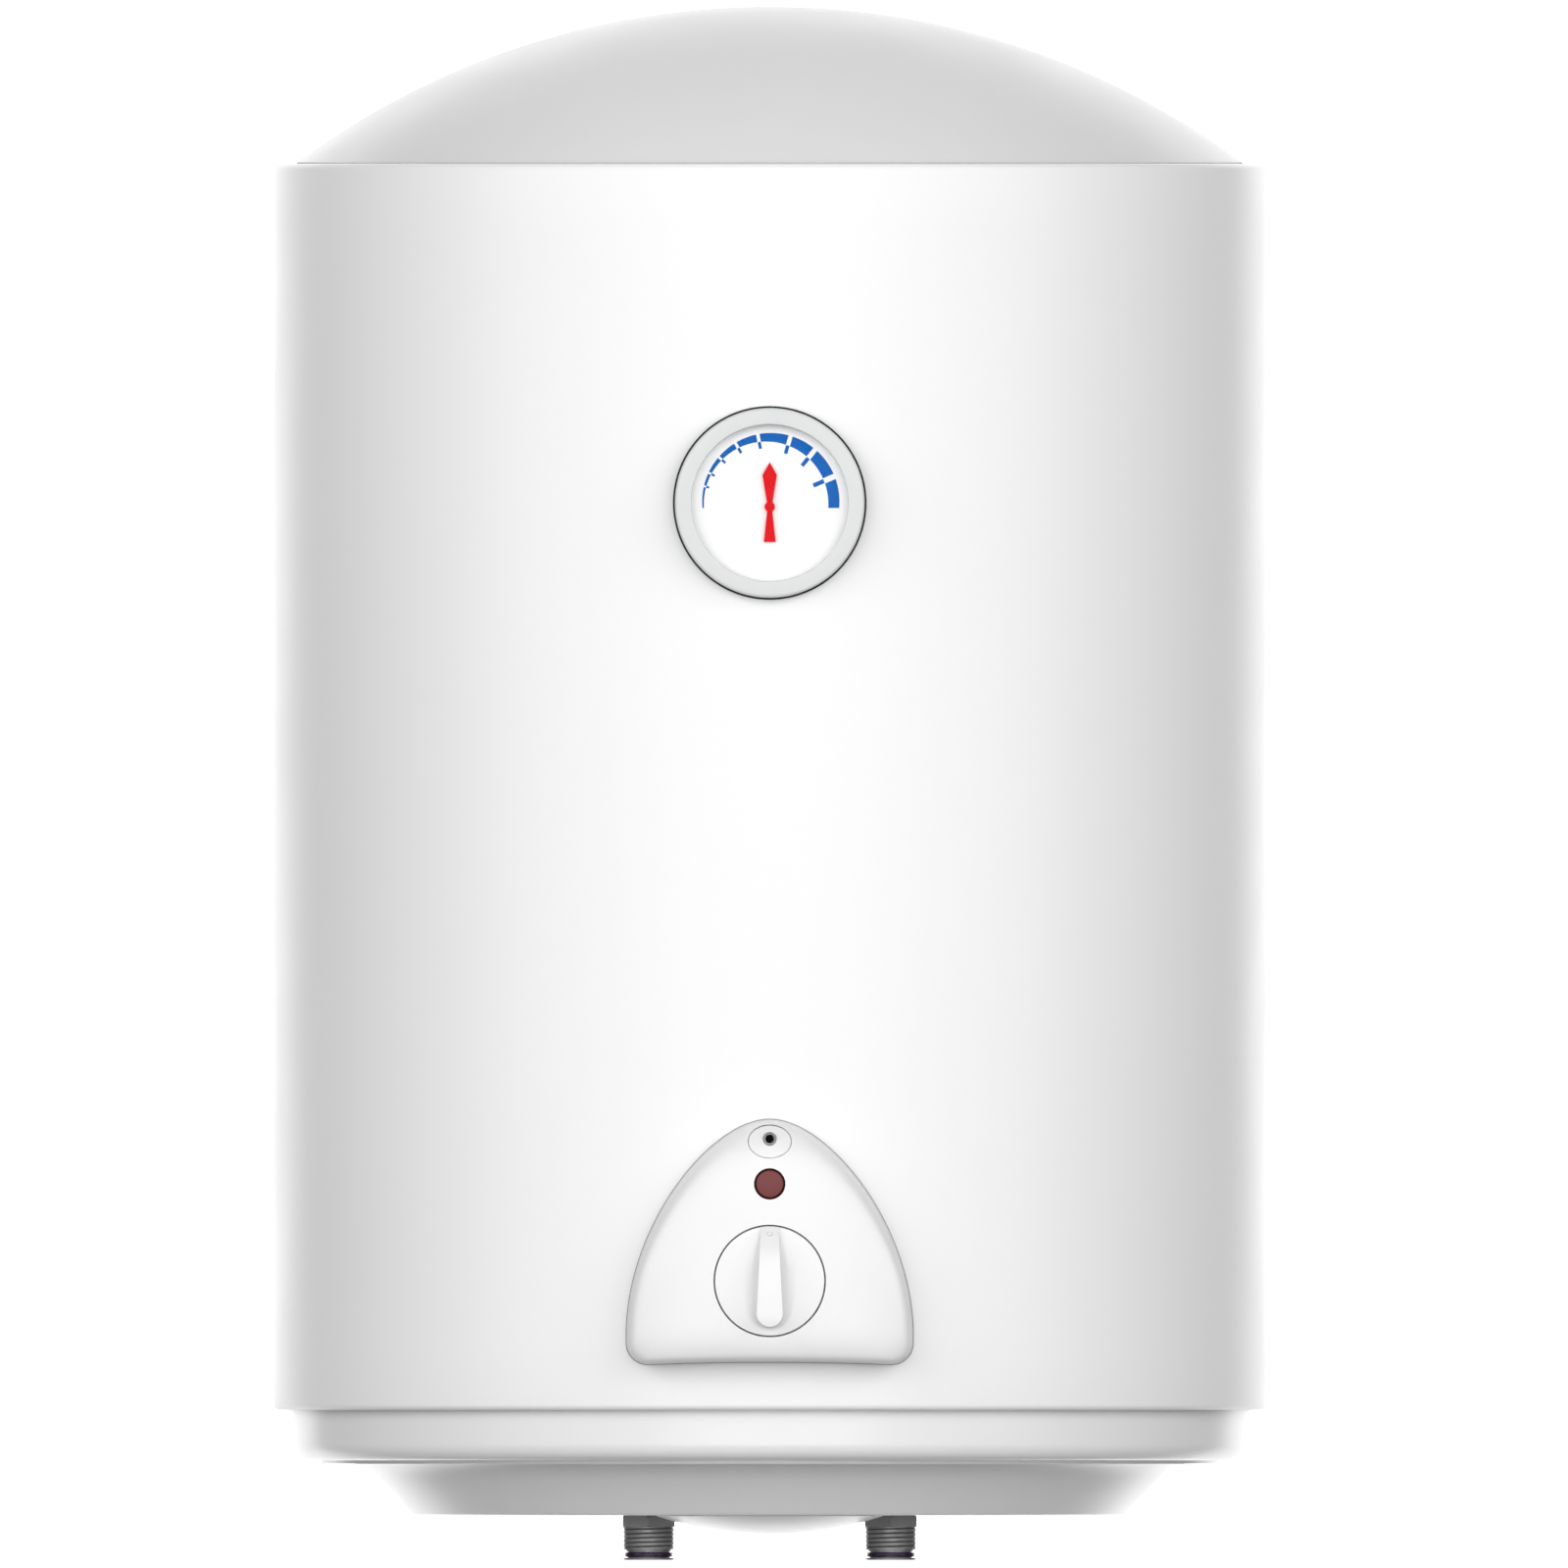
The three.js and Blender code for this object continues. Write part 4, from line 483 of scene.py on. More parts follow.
class Shape:
    """A solid in millimetres that operators shape step by step."""

    def __init__(self) -> None:
        """Starts empty."""
        self.mesh = bmesh.new()

    @classmethod
    def rod(cls, radius: float, low: float, high: float, steps: int = ROD_STEPS) -> Shape:
        """Returns an upright rod about the axis.

        Args:
            radius: its radius to its corners.
            low: its lower end.
            high: its upper end.
            steps: how many sides it has.

        Returns:
            The rod.
        """
        shape = cls()
        bmesh.ops.create_cone(shape.mesh, cap_ends=True, segments=steps, radius1=radius,
                              radius2=radius, depth=high - low)
        return shape.moved(0, 0, (low + high) / 2)

    @classmethod
    def drawn(cls, first: Pair, *corners: Corner) -> Shape:
        """Returns an outline with straight sides; it stays open if it starts on the axis."""
        shape = cls()
        shape.pen(*first).line(*corners).close()
        return shape

    @classmethod
    def lathed(cls, steps: int, *corners: Corner) -> Shape:
        """Returns an outline's solid of so many sides round the upright axis."""
        return cls.drawn(*corners).revolved(steps)

    @classmethod
    def of_node(cls, name: str) -> Shape:
        """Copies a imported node, merged and with its flat faces made whole.

        Args:
            name: the node's name.

        Returns:
            The copy.
        """
        shape = cls()
        mesh = shape.mesh
        mesh.from_mesh(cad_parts[name].data)
        bmesh.ops.scale(mesh, vec=(1 / MM,) * 3, verts=mesh.verts[:])
        bmesh.ops.remove_doubles(mesh, verts=mesh.verts[:], dist=WELD)
        bmesh.ops.dissolve_limit(mesh, angle_limit=FLAT, verts=mesh.verts[:], edges=mesh.edges[:])
        return shape

    def pen(self, x: float, z: float) -> Pen:
        """Returns a pen set down at a place and a height."""
        return Pen(self.mesh, x, z)

    def everything(self) -> list:
        """Returns all corners, edges and faces."""
        return self.mesh.verts[:] + self.mesh.edges[:] + self.mesh.faces[:]

    def merged(self) -> Shape:
        """Merges doubled corners and turns the faces outwards."""
        bmesh.ops.remove_doubles(self.mesh, verts=self.mesh.verts[:], dist=SEAM)
        bmesh.ops.recalc_face_normals(self.mesh, faces=self.mesh.faces[:])
        return self

    def revolved(self, steps: int = ROD_STEPS, rise: float = 0.0, turns: int = 1) -> Shape:
        """Spins the outline about the upright axis.

        Args:
            steps: how many sides a turn has.
            rise: how far a turn climbs, for a screw.
            turns: how many turns there are.

        Returns:
            The shape: closed, or a screw with open ends.
        """
        bmesh.ops.spin(self.mesh, geom=self.mesh.verts[:] + self.mesh.edges[:], axis=(0, 0, 1),
                       dvec=(0, 0, rise / steps), angle=2 * math.pi * turns, steps=steps * turns,
                       use_merge=not rise)
        return self.merged()

    def trimmed(self, low: float, high: float) -> Shape:
        """Cuts the surface level at two heights and closes both ends.

        Args:
            low: the lower height.
            high: the upper height.

        Returns:
            The closed solid.
        """
        for height, upward in ((low, -1), (high, 1)):
            bmesh.ops.bisect_plane(self.mesh, geom=self.everything(), dist=SEAM, clear_outer=True,
                                   plane_co=(0, 0, height), plane_no=(0, 0, upward))
        rims = [edge for edge in self.mesh.edges if edge.is_boundary]
        bmesh.ops.holes_fill(self.mesh, edges=rims)
        return self.merged()

    def filled(self) -> Shape:
        """Closes the outline with one face."""
        bmesh.ops.contextual_create(self.mesh, geom=self.mesh.edges[:])
        return self

    def thickened(self, back: float, front: float) -> Shape:
        """Gives flat faces a thickness.

        Args:
            back: the depth where the faces come to lie.
            front: the depth that they are pulled out to.

        Returns:
            The solid.
        """
        made = bmesh.ops.extrude_face_region(self.mesh, geom=self.mesh.faces[:])
        bmesh.ops.translate(self.mesh, vec=(0, back - front, 0), verts=corners_of(made["geom"]))
        return self.merged().moved(0, -back, 0)

    def mirrored(self) -> Shape:
        """Adds the left half to a right half."""
        bmesh.ops.mirror(self.mesh, geom=self.everything(), merge_dist=SEAM, axis="X")
        return self

    def moved(self, x: float, y: float, z: float) -> Shape:
        """Moves the shape."""
        bmesh.ops.translate(self.mesh, vec=(x, y, z), verts=self.mesh.verts[:])
        return self

    def turned(self, degrees: float, axis: str) -> Shape:
        """Turns the shape about an axis through the origin."""
        turn = Matrix.Rotation(math.radians(degrees), 3, axis)
        bmesh.ops.rotate(self.mesh, cent=(0, 0, 0), matrix=turn, verts=self.mesh.verts[:])
        return self

    def forwards(self, height: float = 0.0) -> Shape:
        """Lays an upright shape down at a height, so that its top faces the front."""
        return self.turned(90, "X").moved(0, 0, height)

    def combined(self, how: Join, others: Iterable[Shape]) -> Shape:
        """Combines the shape with others.

        Args:
            how: the way that they combine.
            others: the other solids, which are used up.

        Returns:
            The combined solid.
        """
        host = put_mesh("scratch", self.mesh)
        tools = [put_mesh("scratch", other.mesh) for other in others]
        for tool in tools:
            step = host.modifiers.new(how.name, "BOOLEAN")
            step.operation, step.object, step.solver = how.value, tool, "EXACT"
        graph = bpy.context.evaluated_depsgraph_get()
        self.mesh = bmesh.new()
        self.mesh.from_mesh(host.evaluated_get(graph).to_mesh())
        for used in (host, *tools):
            data = used.data
            bpy.data.objects.remove(used)
            bpy.data.meshes.remove(data)
        return self

    def minus(self, *others: Shape) -> Shape:
        """Cuts other solids away."""
        return self.combined(Join.CUT, others)

    def plus(self, *others: Shape) -> Shape:
        """Fuses other solids on."""
        return self.combined(Join.FUSE, others)

    def within(self, *others: Shape) -> Shape:
        """Keeps what lies in the other solids too."""
        return self.combined(Join.COMMON, others)

    def eased(self, width: float, segments: int = 2) -> Shape:
        """Rounds the sharp edges.

        Args:
            width: how far an edge is cut back.
            segments: how many steps the rounding has.

        Returns:
            The shape.
        """
        edges = [edge for edge in self.mesh.edges if edge.calc_face_angle(0.0) > SHARP]
        bmesh.ops.bevel(self.mesh, geom=edges, offset=width, segments=segments, affect="EDGES",
                        loop_slide=True, **BEVEL)
        return self

    def placed(self, name: str, origin: Vector, finish: Finish, *replaced: str,
               body: Body = Body.HEATER, plane: float = math.inf) -> Thing:
        """Makes the shape a finished piece of the heater.

        Args:
            name: the piece's name.
            origin: where the shape's own origin lies in the row frame, in metres.
            finish: its finish, which its material slot is named for.
            replaced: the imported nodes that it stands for.
            body: the body that it rides on.
            plane: area in square millimetres from which a face is shaded flat.

        Returns:
            The piece.
        """
        mesh = self.mesh
        for face in mesh.faces:
            face.smooth = face.calc_area() < plane
        bmesh.ops.scale(mesh, vec=(MM, MM, MM), verts=mesh.verts[:])
        bmesh.ops.translate(mesh, vec=origin, verts=mesh.verts[:])
        for edge in mesh.edges:
            edge.smooth = edge.calc_face_angle(0.0) < SHARP
        piece = put_mesh(name, mesh)
        piece.data.materials.append(finish.material())
        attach(piece, body.value)
        if replaced:
            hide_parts(*replaced)
        return piece


# ---------------- setting out
@dataclass(frozen=True)
class Datum:
    """Lines that the sub-assemblies are set out from, in metres in the row frame."""

    axis: Vector  # the drum's axis, level with the jacket's bottom edge
    front: Vector  # the jacket's front line, level with its bottom edge

    @classmethod
    def of_jacket(cls) -> Datum:
        """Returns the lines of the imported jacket."""
        low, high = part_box("outer_jacket")
        middle = (low + high) / 2
        return cls(Vector((middle.x, middle.y, low.z)), Vector((middle.x, low.y, low.z)))

    def on_front(self, node: str) -> Vector:
        """Returns the point of the front line level with a node's middle."""
        low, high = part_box(node)
        return Vector((self.front.x, self.front.y, (low.z + high.z) / 2))

    def under(self, node: str) -> Vector:
        """Returns the point level with the bottom edge in line with a node's middle."""
        low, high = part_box(node)
        return Vector(((low.x + high.x) / 2, (low.y + high.y) / 2, self.axis.z))


DATUM = Datum.of_jacket()


def drum_rod(proud: float, low: float, high: float) -> Shape:
    """Returns the drum's round, grown, seen from its front line, to trim what sits on it."""
    return Shape.rod(DRUM + proud, low, high, 2 * ROUND_STEPS).moved(0, DRUM, 0)


# ---------------- casing
@dataclass
class Casing:
    """Jacket, top cap, bottom cap with its service cover and grommet, and the foam inside."""

    height: float = 515.0
    sheet: float = 0.8
    edge_round: float = 2.5
    height_cuts: int = 20
    seam_turn: float = 38.0
    seam_half: float = 4.5
    seam_sunk: float = 0.1
    seam_proud: float = 0.7
    seam_margin: float = 3.5
    top_radius: float = 195.6
    top_rise: float = 65.0
    top_groove: float = 0.4
    wall: float = 2.5
    skirt: float = 12.0
    snap: float = 1.2
    ring_radius: float = 198.3
    ring_height: float = 20.7
    ring_taper: float = 0.7
    ring_round: float = 7.0
    plane_radius: float = 148.4
    drop: float = 43.4
    cone_angle: float = 48.0
    fillet: float = 25.0
    bead_radius: float = 185.2
    bead_width: float = 2.4
    bead_drop: float = 1.5
    pipe_hole: float = 10.98
    cable_hole: float = 6.0
    opening: float = 44.0
    cover_radius: float = 46.7
    cover_rise: float = 7.5
    cover_edge: float = 0.3
    cover_gap: float = 0.05
    cover_wall: float = 2.0
    hook: float = 1.6
    hook_proud: float = 0.9
    grommet_bore: float = 4.0
    grommet_neck: float = 5.7
    grommet_catch: float = 8.0
    grommet_flange: float = 10.0
    grommet_taper: float = 1.0
    grommet_thick: float = 2.5

    def build(self) -> list[Thing]:
        """Builds the casing's pieces and dresses the foam."""
        return [
            self.jacket(), self.seam(), self.top_cap(), self.bottom_cap(), self.service_cover(),
            self.grommet(), dress("insulation_foam", FOAM),
        ]

    def jacket(self) -> Thing:
        """Builds the sheet jacket with rolled edges and hems."""
        inner, top = DRUM - self.sheet, self.height
        round_in = self.edge_round - self.sheet
        low_hem, top_hem = self.ring_radius + GAP, self.top_radius + GAP
        cuts = [(DRUM, top * step / self.height_cuts) for step in range(1, self.height_cuts)]
        shape = Shape.lathed(
            ROUND_STEPS, (low_hem, 0), (DRUM, 0, self.edge_round), *cuts, (DRUM, top, self.edge_round),
            (top_hem, top), (top_hem, top - self.sheet), (inner, top - self.sheet, round_in),
            (inner, self.sheet, round_in), (low_hem, self.sheet),
        )
        return shape.placed("jacket", DATUM.axis, ENAMEL, "outer_jacket")

    def seam(self) -> Thing:
        """Builds the jacket's folded lock seam, on the back's right."""
        half, inner, outer = self.seam_half, DRUM - self.seam_sunk, DRUM + self.seam_proud
        shape = Shape.drawn((-half, inner), (half, inner), (half, outer, 0.5), (-half, outer, 0.5))
        shape.filled().thickened(0, 2 * self.seam_margin - self.height).turned(90, "X")
        shape.moved(0, 0, self.seam_margin).turned(180 - self.seam_turn, "Z")
        return shape.placed("jacket_seam", DATUM.axis, ENAMEL)

    def top_cap(self) -> Thing:
        """Builds the domed top cap."""
        shape = Shape()
        rim, top, foot = self.top_radius, self.height, self.height - self.skirt
        groove, hem = rim - self.top_groove, top - self.sheet - GAP
        pen = shape.pen(0, top + self.top_rise).dome(rim, top + self.top_groove, 40)
        pen.line((groove, top), (groove, hem), (rim + self.snap, hem, 0.2), (rim, foot))
        pen.line((rim - self.wall, foot), (rim - self.wall, top))
        pen.dome(0, top + self.top_rise - self.wall, 24).close()
        shape.revolved(ROUND_STEPS)
        return shape.placed("top_cap_dome", DATUM.axis, CAP_PLASTIC_AND_SHADE, "top_cap")

    def bottom_section(self, pen: Pen) -> None:
        """Draws the bottom cap's section: plane, cone, fillet, bead, ring, skirt, and back inside.

        Args:
            pen: the pen, at the opening's edge.
        """
        angle, wall, ring = math.radians(self.cone_angle), self.wall, self.ring_radius
        cone_drop = self.drop - self.ring_height - self.fillet * (1 - math.cos(angle))
        reach = self.fillet * math.sin(angle)
        fillet_x = self.plane_radius + cone_drop / math.tan(angle) + reach
        fillet_z = -self.ring_height - self.fillet
        corner_x = ring - self.ring_taper - self.ring_round
        corner_z = self.ring_round - self.ring_height
        hem, bead, inside = self.sheet + GAP, self.bead_radius, self.bead_radius - self.bead_width
        step, lip = -self.ring_height, -self.ring_height - self.bead_drop
        pen.line((self.plane_radius, -self.drop, 1.2))
        pen.line((fillet_x - reach, fillet_z + self.fillet * math.cos(angle)))
        pen.arc(fillet_x, fillet_z, -self.cone_angle, 14)
        pen.line((inside, step), (inside, lip, 0.3), (bead, lip, 0.3), (bead, step), (corner_x, step))
        pen.arc(corner_x, corner_z, 90, 12)
        pen.line((ring, hem), (ring + self.snap, hem), (ring, self.skirt), (ring - wall, self.skirt))
        pen.line((ring - self.ring_taper - wall, corner_z)).arc(corner_x, corner_z, -90, 8)
        pen.line((fillet_x, wall + step)).arc(fillet_x, fillet_z, self.cone_angle, 10)
        pen.line((self.plane_radius - wall * math.tan(angle / 2), wall - self.drop))

    def bottom_cap(self) -> Thing:
        """Builds the bottom cap with its holes for the pipes and the cable."""
        shape = Shape()
        pen = shape.pen(self.opening, -self.drop)
        self.bottom_section(pen)
        pen.line((self.opening, self.wall - self.drop)).close()
        shape.revolved(ROUND_STEPS)
        low, high, pipe = -self.drop - self.skirt, self.skirt - self.drop, self.pipe_hole
        holes = {"cold_nipple": pipe, "hot_nipple": pipe, "cable_grommet": self.cable_hole}
        shape.minus(*(
            Shape.rod(radius, low, high).moved(*(DATUM.under(node) - DATUM.axis) / MM)
            for node, radius in holes.items()
        ))
        return shape.placed("bottom_cap_shell", DATUM.axis, WHITE_PLASTIC, "bottom_cap")

    def service_cover(self) -> Thing:
        """Builds the shallow dome over the service opening."""
        shape = Shape()
        rim = -self.drop - self.cover_gap
        edge, skirt = rim - self.cover_edge, self.opening - GAP
        inner, hook = skirt - self.hook, self.wall - self.drop + GAP
        pen = shape.pen(0, edge - self.cover_rise).dome(self.cover_radius, edge, 24)
        pen.line((self.cover_radius, rim, 0.3), (skirt, rim), (skirt, hook))
        pen.line((skirt + self.hook_proud, hook), (skirt, hook + self.hook), (inner, hook + self.hook))
        pen.line((inner, rim))
        pen.dome(0, edge - self.cover_rise + self.cover_wall, 16).close()
        shape.revolved(RING_STEPS)
        return shape.placed(
            "service_cover_dome", DATUM.under("service_cover"), WHITE_PLASTIC, "service_cover")

    def grommet(self) -> Thing:
        """Builds the rubber grommet of the cable's entry."""
        outside, inside = -self.drop - GAP, self.wall - self.drop + GAP
        bore, neck, thick = self.grommet_bore, self.grommet_neck, self.grommet_thick
        flange = self.grommet_flange
        shape = Shape.lathed(
            PIPE_STEPS, (bore, outside - thick), (flange - self.grommet_taper, outside - thick, 0.9),
            (flange, outside, 0.3), (neck, outside), (neck, inside),
            (self.grommet_catch, inside), (neck, inside + thick, 0.8), (bore, inside + thick),
        )
        return shape.placed("grommet_ring", DATUM.under("cable_grommet"), RUBBER, "cable_grommet")


# ---------------- pipes
@dataclass
class PipeStubs:
    """Threaded nipples for the cold inlet and the hot outlet, with their plastic bands."""

    bore: float = 7.0
    bore_mouth: Pair = (1.6, 0.6)  # how much wider, and how deep
    crest: float = 10.4775
    root: float = 9.9
    pitch: float = 1.814
    crest_flat: float = 1.1
    hex_across: float = 21.5
    hex_top: float = -43.7
    hex_height: float = 4.5
    hex_face: float = 0.9
    hex_gap: float = 0.1
    hex_chamfer: float = 0.6
    thread_end: float = -57.6
    thread_sunk: float = 0.2
    neck_sunk: float = 0.5
    groove: float = 9.3
    groove_end: float = -58.4
    seat: float = 8.7
    seat_end: float = -60.9
    end: float = -61.9
    top: float = -4.0
    band: float = 9.9

    def build(self) -> list[Thing]:
        """Builds both nipples and their bands."""
        pieces = []
        for side in ("cold", "hot"):
            node = f"{side}_nipple"
            origin = DATUM.under(node)
            pieces.append(self.nipple().placed(f"{side}_pipe_stub", origin, DARK_STEEL, node))
            ring = self.band_ring()
            pieces.append(ring.placed(f"{side}_stub_band", origin, DARK_BAND, f"{node}_band"))
        return pieces

    def thread(self) -> Shape:
        """Returns the pipe thread as a bar with level ends."""
        shape = Shape()
        rise = (self.pitch - self.crest_flat) / 2
        pen = shape.pen(self.root, 0).line((self.crest, rise), (self.crest, rise + self.crest_flat))
        pen.line((self.root, self.pitch)).done()
        length = self.hex_top - self.hex_height - self.thread_end
        turns = math.ceil(length / self.pitch) + 2
        shape.revolved(PIPE_STEPS, self.pitch, turns).moved(0, 0, self.thread_end - self.pitch)
        return shape.trimmed(self.thread_end, self.thread_end + length + self.thread_sunk)

    def hexagon(self) -> Shape:
        """Returns the nipple's hexagon with its corners chamfered."""
        low, high = self.hex_top - self.hex_height, self.hex_top
        corner = self.hex_across / math.sqrt(3)
        flat, outside, chamfer = corner - self.hex_face, corner + self.hex_gap, self.hex_chamfer
        barrel = Shape.lathed(ROD_STEPS, (0, low), (flat, low), (outside, low + chamfer),
                              (outside, high - chamfer), (flat, high), (0, high))
        return Shape.rod(corner, low, high, 6).within(barrel)

    def nipple(self) -> Shape:
        """Returns a nipple: body, hexagon, thread, groove, seat and end crest, with its bore."""
        crest, seat, groove, low = self.crest, self.seat, self.groove, self.hex_top - self.neck_sunk
        body = Shape.lathed(
            PIPE_STEPS, (0, self.end), (crest, self.end, 0.35), (crest, self.seat_end, 0.25),
            (seat, self.seat_end), (seat, self.groove_end), (groove, self.groove_end), (groove, low),
            (crest, low), (crest, self.top), (0, self.top),
        )
        bore, (wider, deep), low, high = self.bore, self.bore_mouth, self.end - 1, self.top + 1
        hole = Shape.lathed(PIPE_STEPS, (0, low), (bore + wider, low), (bore, self.end + deep),
                            (bore, high), (0, high))
        return body.plus(self.hexagon(), self.thread()).minus(hole)

    def band_ring(self) -> Shape:
        """Returns the plastic band in its seat."""
        inner, low, high = self.seat + GAP, self.seat_end + GAP, self.groove_end - GAP
        return Shape.lathed(PIPE_STEPS, (inner, low), (self.band, low, 0.3), (self.band, high, 0.3),
                            (inner, high))


# ---------------- control panel
@dataclass
class ControlPanel:
    """Domed cover on the jacket's front, with the knob, the lamp's lens and the screw."""

    half_width: float = 59.3
    height: float = 101.5
    corner: float = 9.0
    foot_arch: float = 1.0
    foot_steps: int = 12
    side_straight: float = 15.0
    side_pull: float = 46.0
    side_lean: float = 1.8
    top_pull: float = 22.7
    rim: float = 5.0
    crown: float = 16.0
    crown_centre: float = 38.0
    crown_power: float = 3.2
    crown_steps: int = 26
    crown_end: float = 0.004
    side_roll: float = 2.3
    foot_roll: float = 2.1
    draft: float = 0.8
    wall: float = 2.2
    skirt_back: float = -4.0
    tool_back: float = -8.0
    screw_boss: float = 2.6
    well: float = 23.25
    well_floor: float = 12.0
    knob_radius: float = 22.6
    knob_front: float = 20.0
    knob_edge: float = 0.35
    hub: float = 5.5
    hub_gap: float = 0.5
    shaft_hole: float = 3.3
    shaft_cap: float = 4.7
    grip_top: float = 7.2
    grip_width: float = 11.0
    grip_draft: float = 0.93
    grip_end: float = -18.9
    grip_low: float = 0.9
    grip_high: float = 9.0
    grip_level: Pair = (-8.0, 4.0)  # where its level front ends, and the pull above that
    grip_swell: Pair = (1.5, 8.0)  # the rim's pull: how much lower, and how far under the rim
    grip_ease: float = 0.5
    grip_sunk: float = 1.0
    root: float = 8.0
    root_top: float = 7.0
    root_low: float = 0.4
    root_shrink: float = 0.4
    root_least: float = 0.3
    root_sunk: float = 0.5
    root_straight: float = 0.35
    root_steps: tuple[int, int] = (60, 10)
    dot_height: float = 19.4
    dot_depth: float = 23.7
    dot_radius: float = 1.15
    lens: float = 6.35
    lens_gap: float = 0.15
    lens_front: float = 19.8
    lens_back: float = 13.8
    lens_wall: float = 1.4
    lens_flange: float = 1.6
    lens_crown: float = 0.4
    lens_slope: float = 1.2
    screw_bore: float = 1.85
    screw_hole: float = 1.5
    screw_seat: float = 6.0
    screw_ring: float = 2.9
    ring_floor: float = 15.6
    screw_head: Pair = (1.6, 1.8)  # radius and height
    screw_shank: Pair = (1.25, 0.5)  # radius and start
    screw_slot: Point = (1.0, 0.25, 0.6)  # half length, half width and floor over the seat
    eyelet: Point = (16.8, 16.7, 0.3)  # its rim's back and front, and the front's dip
    eyelet_gap: float = 0.05
    pad: Pair = (9.1, 7.0)  # half width and half height
    pad_drop: float = 1.1
    pad_line: float = 0.4
    pad_cut: float = 1.2
    seal_proud: float = 0.2
    seal_depth: float = 0.9
    seal_back: float = -12.0
    seal_gap: float = 0.05

    def build(self) -> list[Thing]:
        """Builds the panel's pieces."""
        return [self.cover(), self.seal(), self.knob(), self.lens_cap(), self.screw(), self.ring()]

    def outline(self) -> Shape:
        """Returns the cover's outline: arched foot, round corners and sides that lean to the top."""
        shape = Shape()
        half, side, straight = self.half_width, self.side_straight, self.half_width - self.corner
        foot = [step / self.foot_steps for step in range(1, self.foot_steps + 1)]
        pen = shape.pen(0, self.foot_arch)
        pen.line(*((straight * share, self.foot_arch * (1 - share**2)) for share in foot))
        pen.arc(straight, self.corner, 90, 10).line((half, (self.corner + side) / 2), (half, side))
        pull = (half - self.side_lean, side + self.side_pull)
        pen.curve(pull, (self.top_pull, self.height), (0, self.height), 52)
        return shape.mirrored()

    def pillow(self, grown: float, base: float, crown: float) -> Shape:
        """Builds the cover's closed pillow, wrapped round the drum.

        Args:
            grown: how far its outline stands outside the cover's.
            base: depth that it starts from.
            crown: how far its middle stands over its rim.

        Returns:
            The pillow, with its origin on the front line at the cover's foot.
        """
        shape = self.outline()
        mesh = shape.mesh
        middle = Matrix.Translation((0, 0, -self.crown_centre))
        drafted = self.draft / self.half_width
        scale = 1 + grown / self.half_width
        start = scale - drafted * base / self.rim
        bmesh.ops.scale(mesh, vec=(start, 1, start), space=middle, verts=mesh.verts[:])
        ring = mesh.edges[:]
        shape.moved(0, -base, 0).filled()
        sizes, depth = (start, start, start), base
        for step in range(self.crown_steps + 1):
            around = math.pi / 2 * step / self.crown_steps
            inset = 1 - max(math.cos(around), self.crown_end) ** (2 / self.crown_power)
            target = self.rim + crown * math.sin(around) ** (2 / self.crown_power)
            made = bmesh.ops.extrude_edge_only(mesh, edges=ring)["geom"]
            fresh = corners_of(made)
            edges = (item for item in made if isinstance(item, bmesh.types.BMEdge))
            ring = [edge for edge in edges if all(vert in fresh for vert in edge.verts)]
            rolls = (self.side_roll, 1.0, self.foot_roll)
            goals = tuple((scale - drafted) * (1 - inset**roll) for roll in rolls)
            across, over, under = (goal / size for goal, size in zip(goals, sizes))
            low = [vert for vert in fresh if vert.co.z < self.crown_centre]
            high = [vert for vert in fresh if vert.co.z >= self.crown_centre]
            bmesh.ops.scale(mesh, vec=(across, 1, under), space=middle, verts=low)
            bmesh.ops.scale(mesh, vec=(across, 1, over), space=middle, verts=high)
            bmesh.ops.translate(mesh, vec=(0, depth - target, 0), verts=fresh)
            sizes, depth = goals, target
        bmesh.ops.contextual_create(mesh, geom=ring)
        for vert in mesh.verts:
            vert.co.y += DRUM - math.sqrt(DRUM**2 - vert.co.x**2)
        return shape.merged()

    def origin(self) -> Vector:
        """Returns the point of the front line level with the cover's foot."""
        return Vector((*DATUM.front.xy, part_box("control_cover")[0].z))

    def jacket_rod(self, proud: float) -> Shape:
        """Returns the jacket's round behind the cover, grown."""
        return drum_rod(proud, -self.height, 2 * self.height)

    def seal(self) -> Thing:
        """Builds the grey seal between the cover's rim and the jacket; its grey edge also paints the
        shadow line round the cover.
        """
        inner = self.pillow(-self.wall, self.seal_back, self.rim)
        shape = self.pillow(self.seal_proud, self.tool_back, 0.0)
        shape.within(self.jacket_rod(self.seal_depth)).minus(inner, self.jacket_rod(self.seal_gap))
        return shape.placed("cover_seal_and_shadow_line", self.origin(), SEAL_AND_SHADOW_GREY)

    def cover(self) -> Thing:
        """Builds the cover: a shell with the knob's well, the lens's hole and the screw's recess."""
        origin, wall, floor = self.origin(), self.wall, self.well_floor
        nodes = ("thermostat_spindle", "indicator_lens", "cover_screw")
        knob, lens, screw = ((DATUM.on_front(node).z - origin.z) / MM for node in nodes)
        cavity = self.pillow(-wall, self.tool_back, self.crown - wall).minus(
            Shape.rod(self.well + wall, floor - wall, FAR).forwards(knob),
            Shape.rod(self.screw_bore + wall, self.screw_boss, FAR).forwards(screw),
        )
        shape = self.pillow(0.0, self.skirt_back, self.crown).minus(
            cavity,
            self.jacket_rod(self.seal_depth),
            Shape.rod(self.well, floor, FAR, DISC_STEPS).forwards(knob),
            Shape.rod(self.hub + self.hub_gap, 0, FAR).forwards(knob),
            Shape.rod(self.lens + self.lens_gap, self.rim, FAR).forwards(lens),
            self.screw_recess().forwards(screw),
            self.pad_groove(screw - self.pad_drop),
        )
        return shape.placed("control_cover_shell", origin, WHITE_PLASTIC, "control_cover")

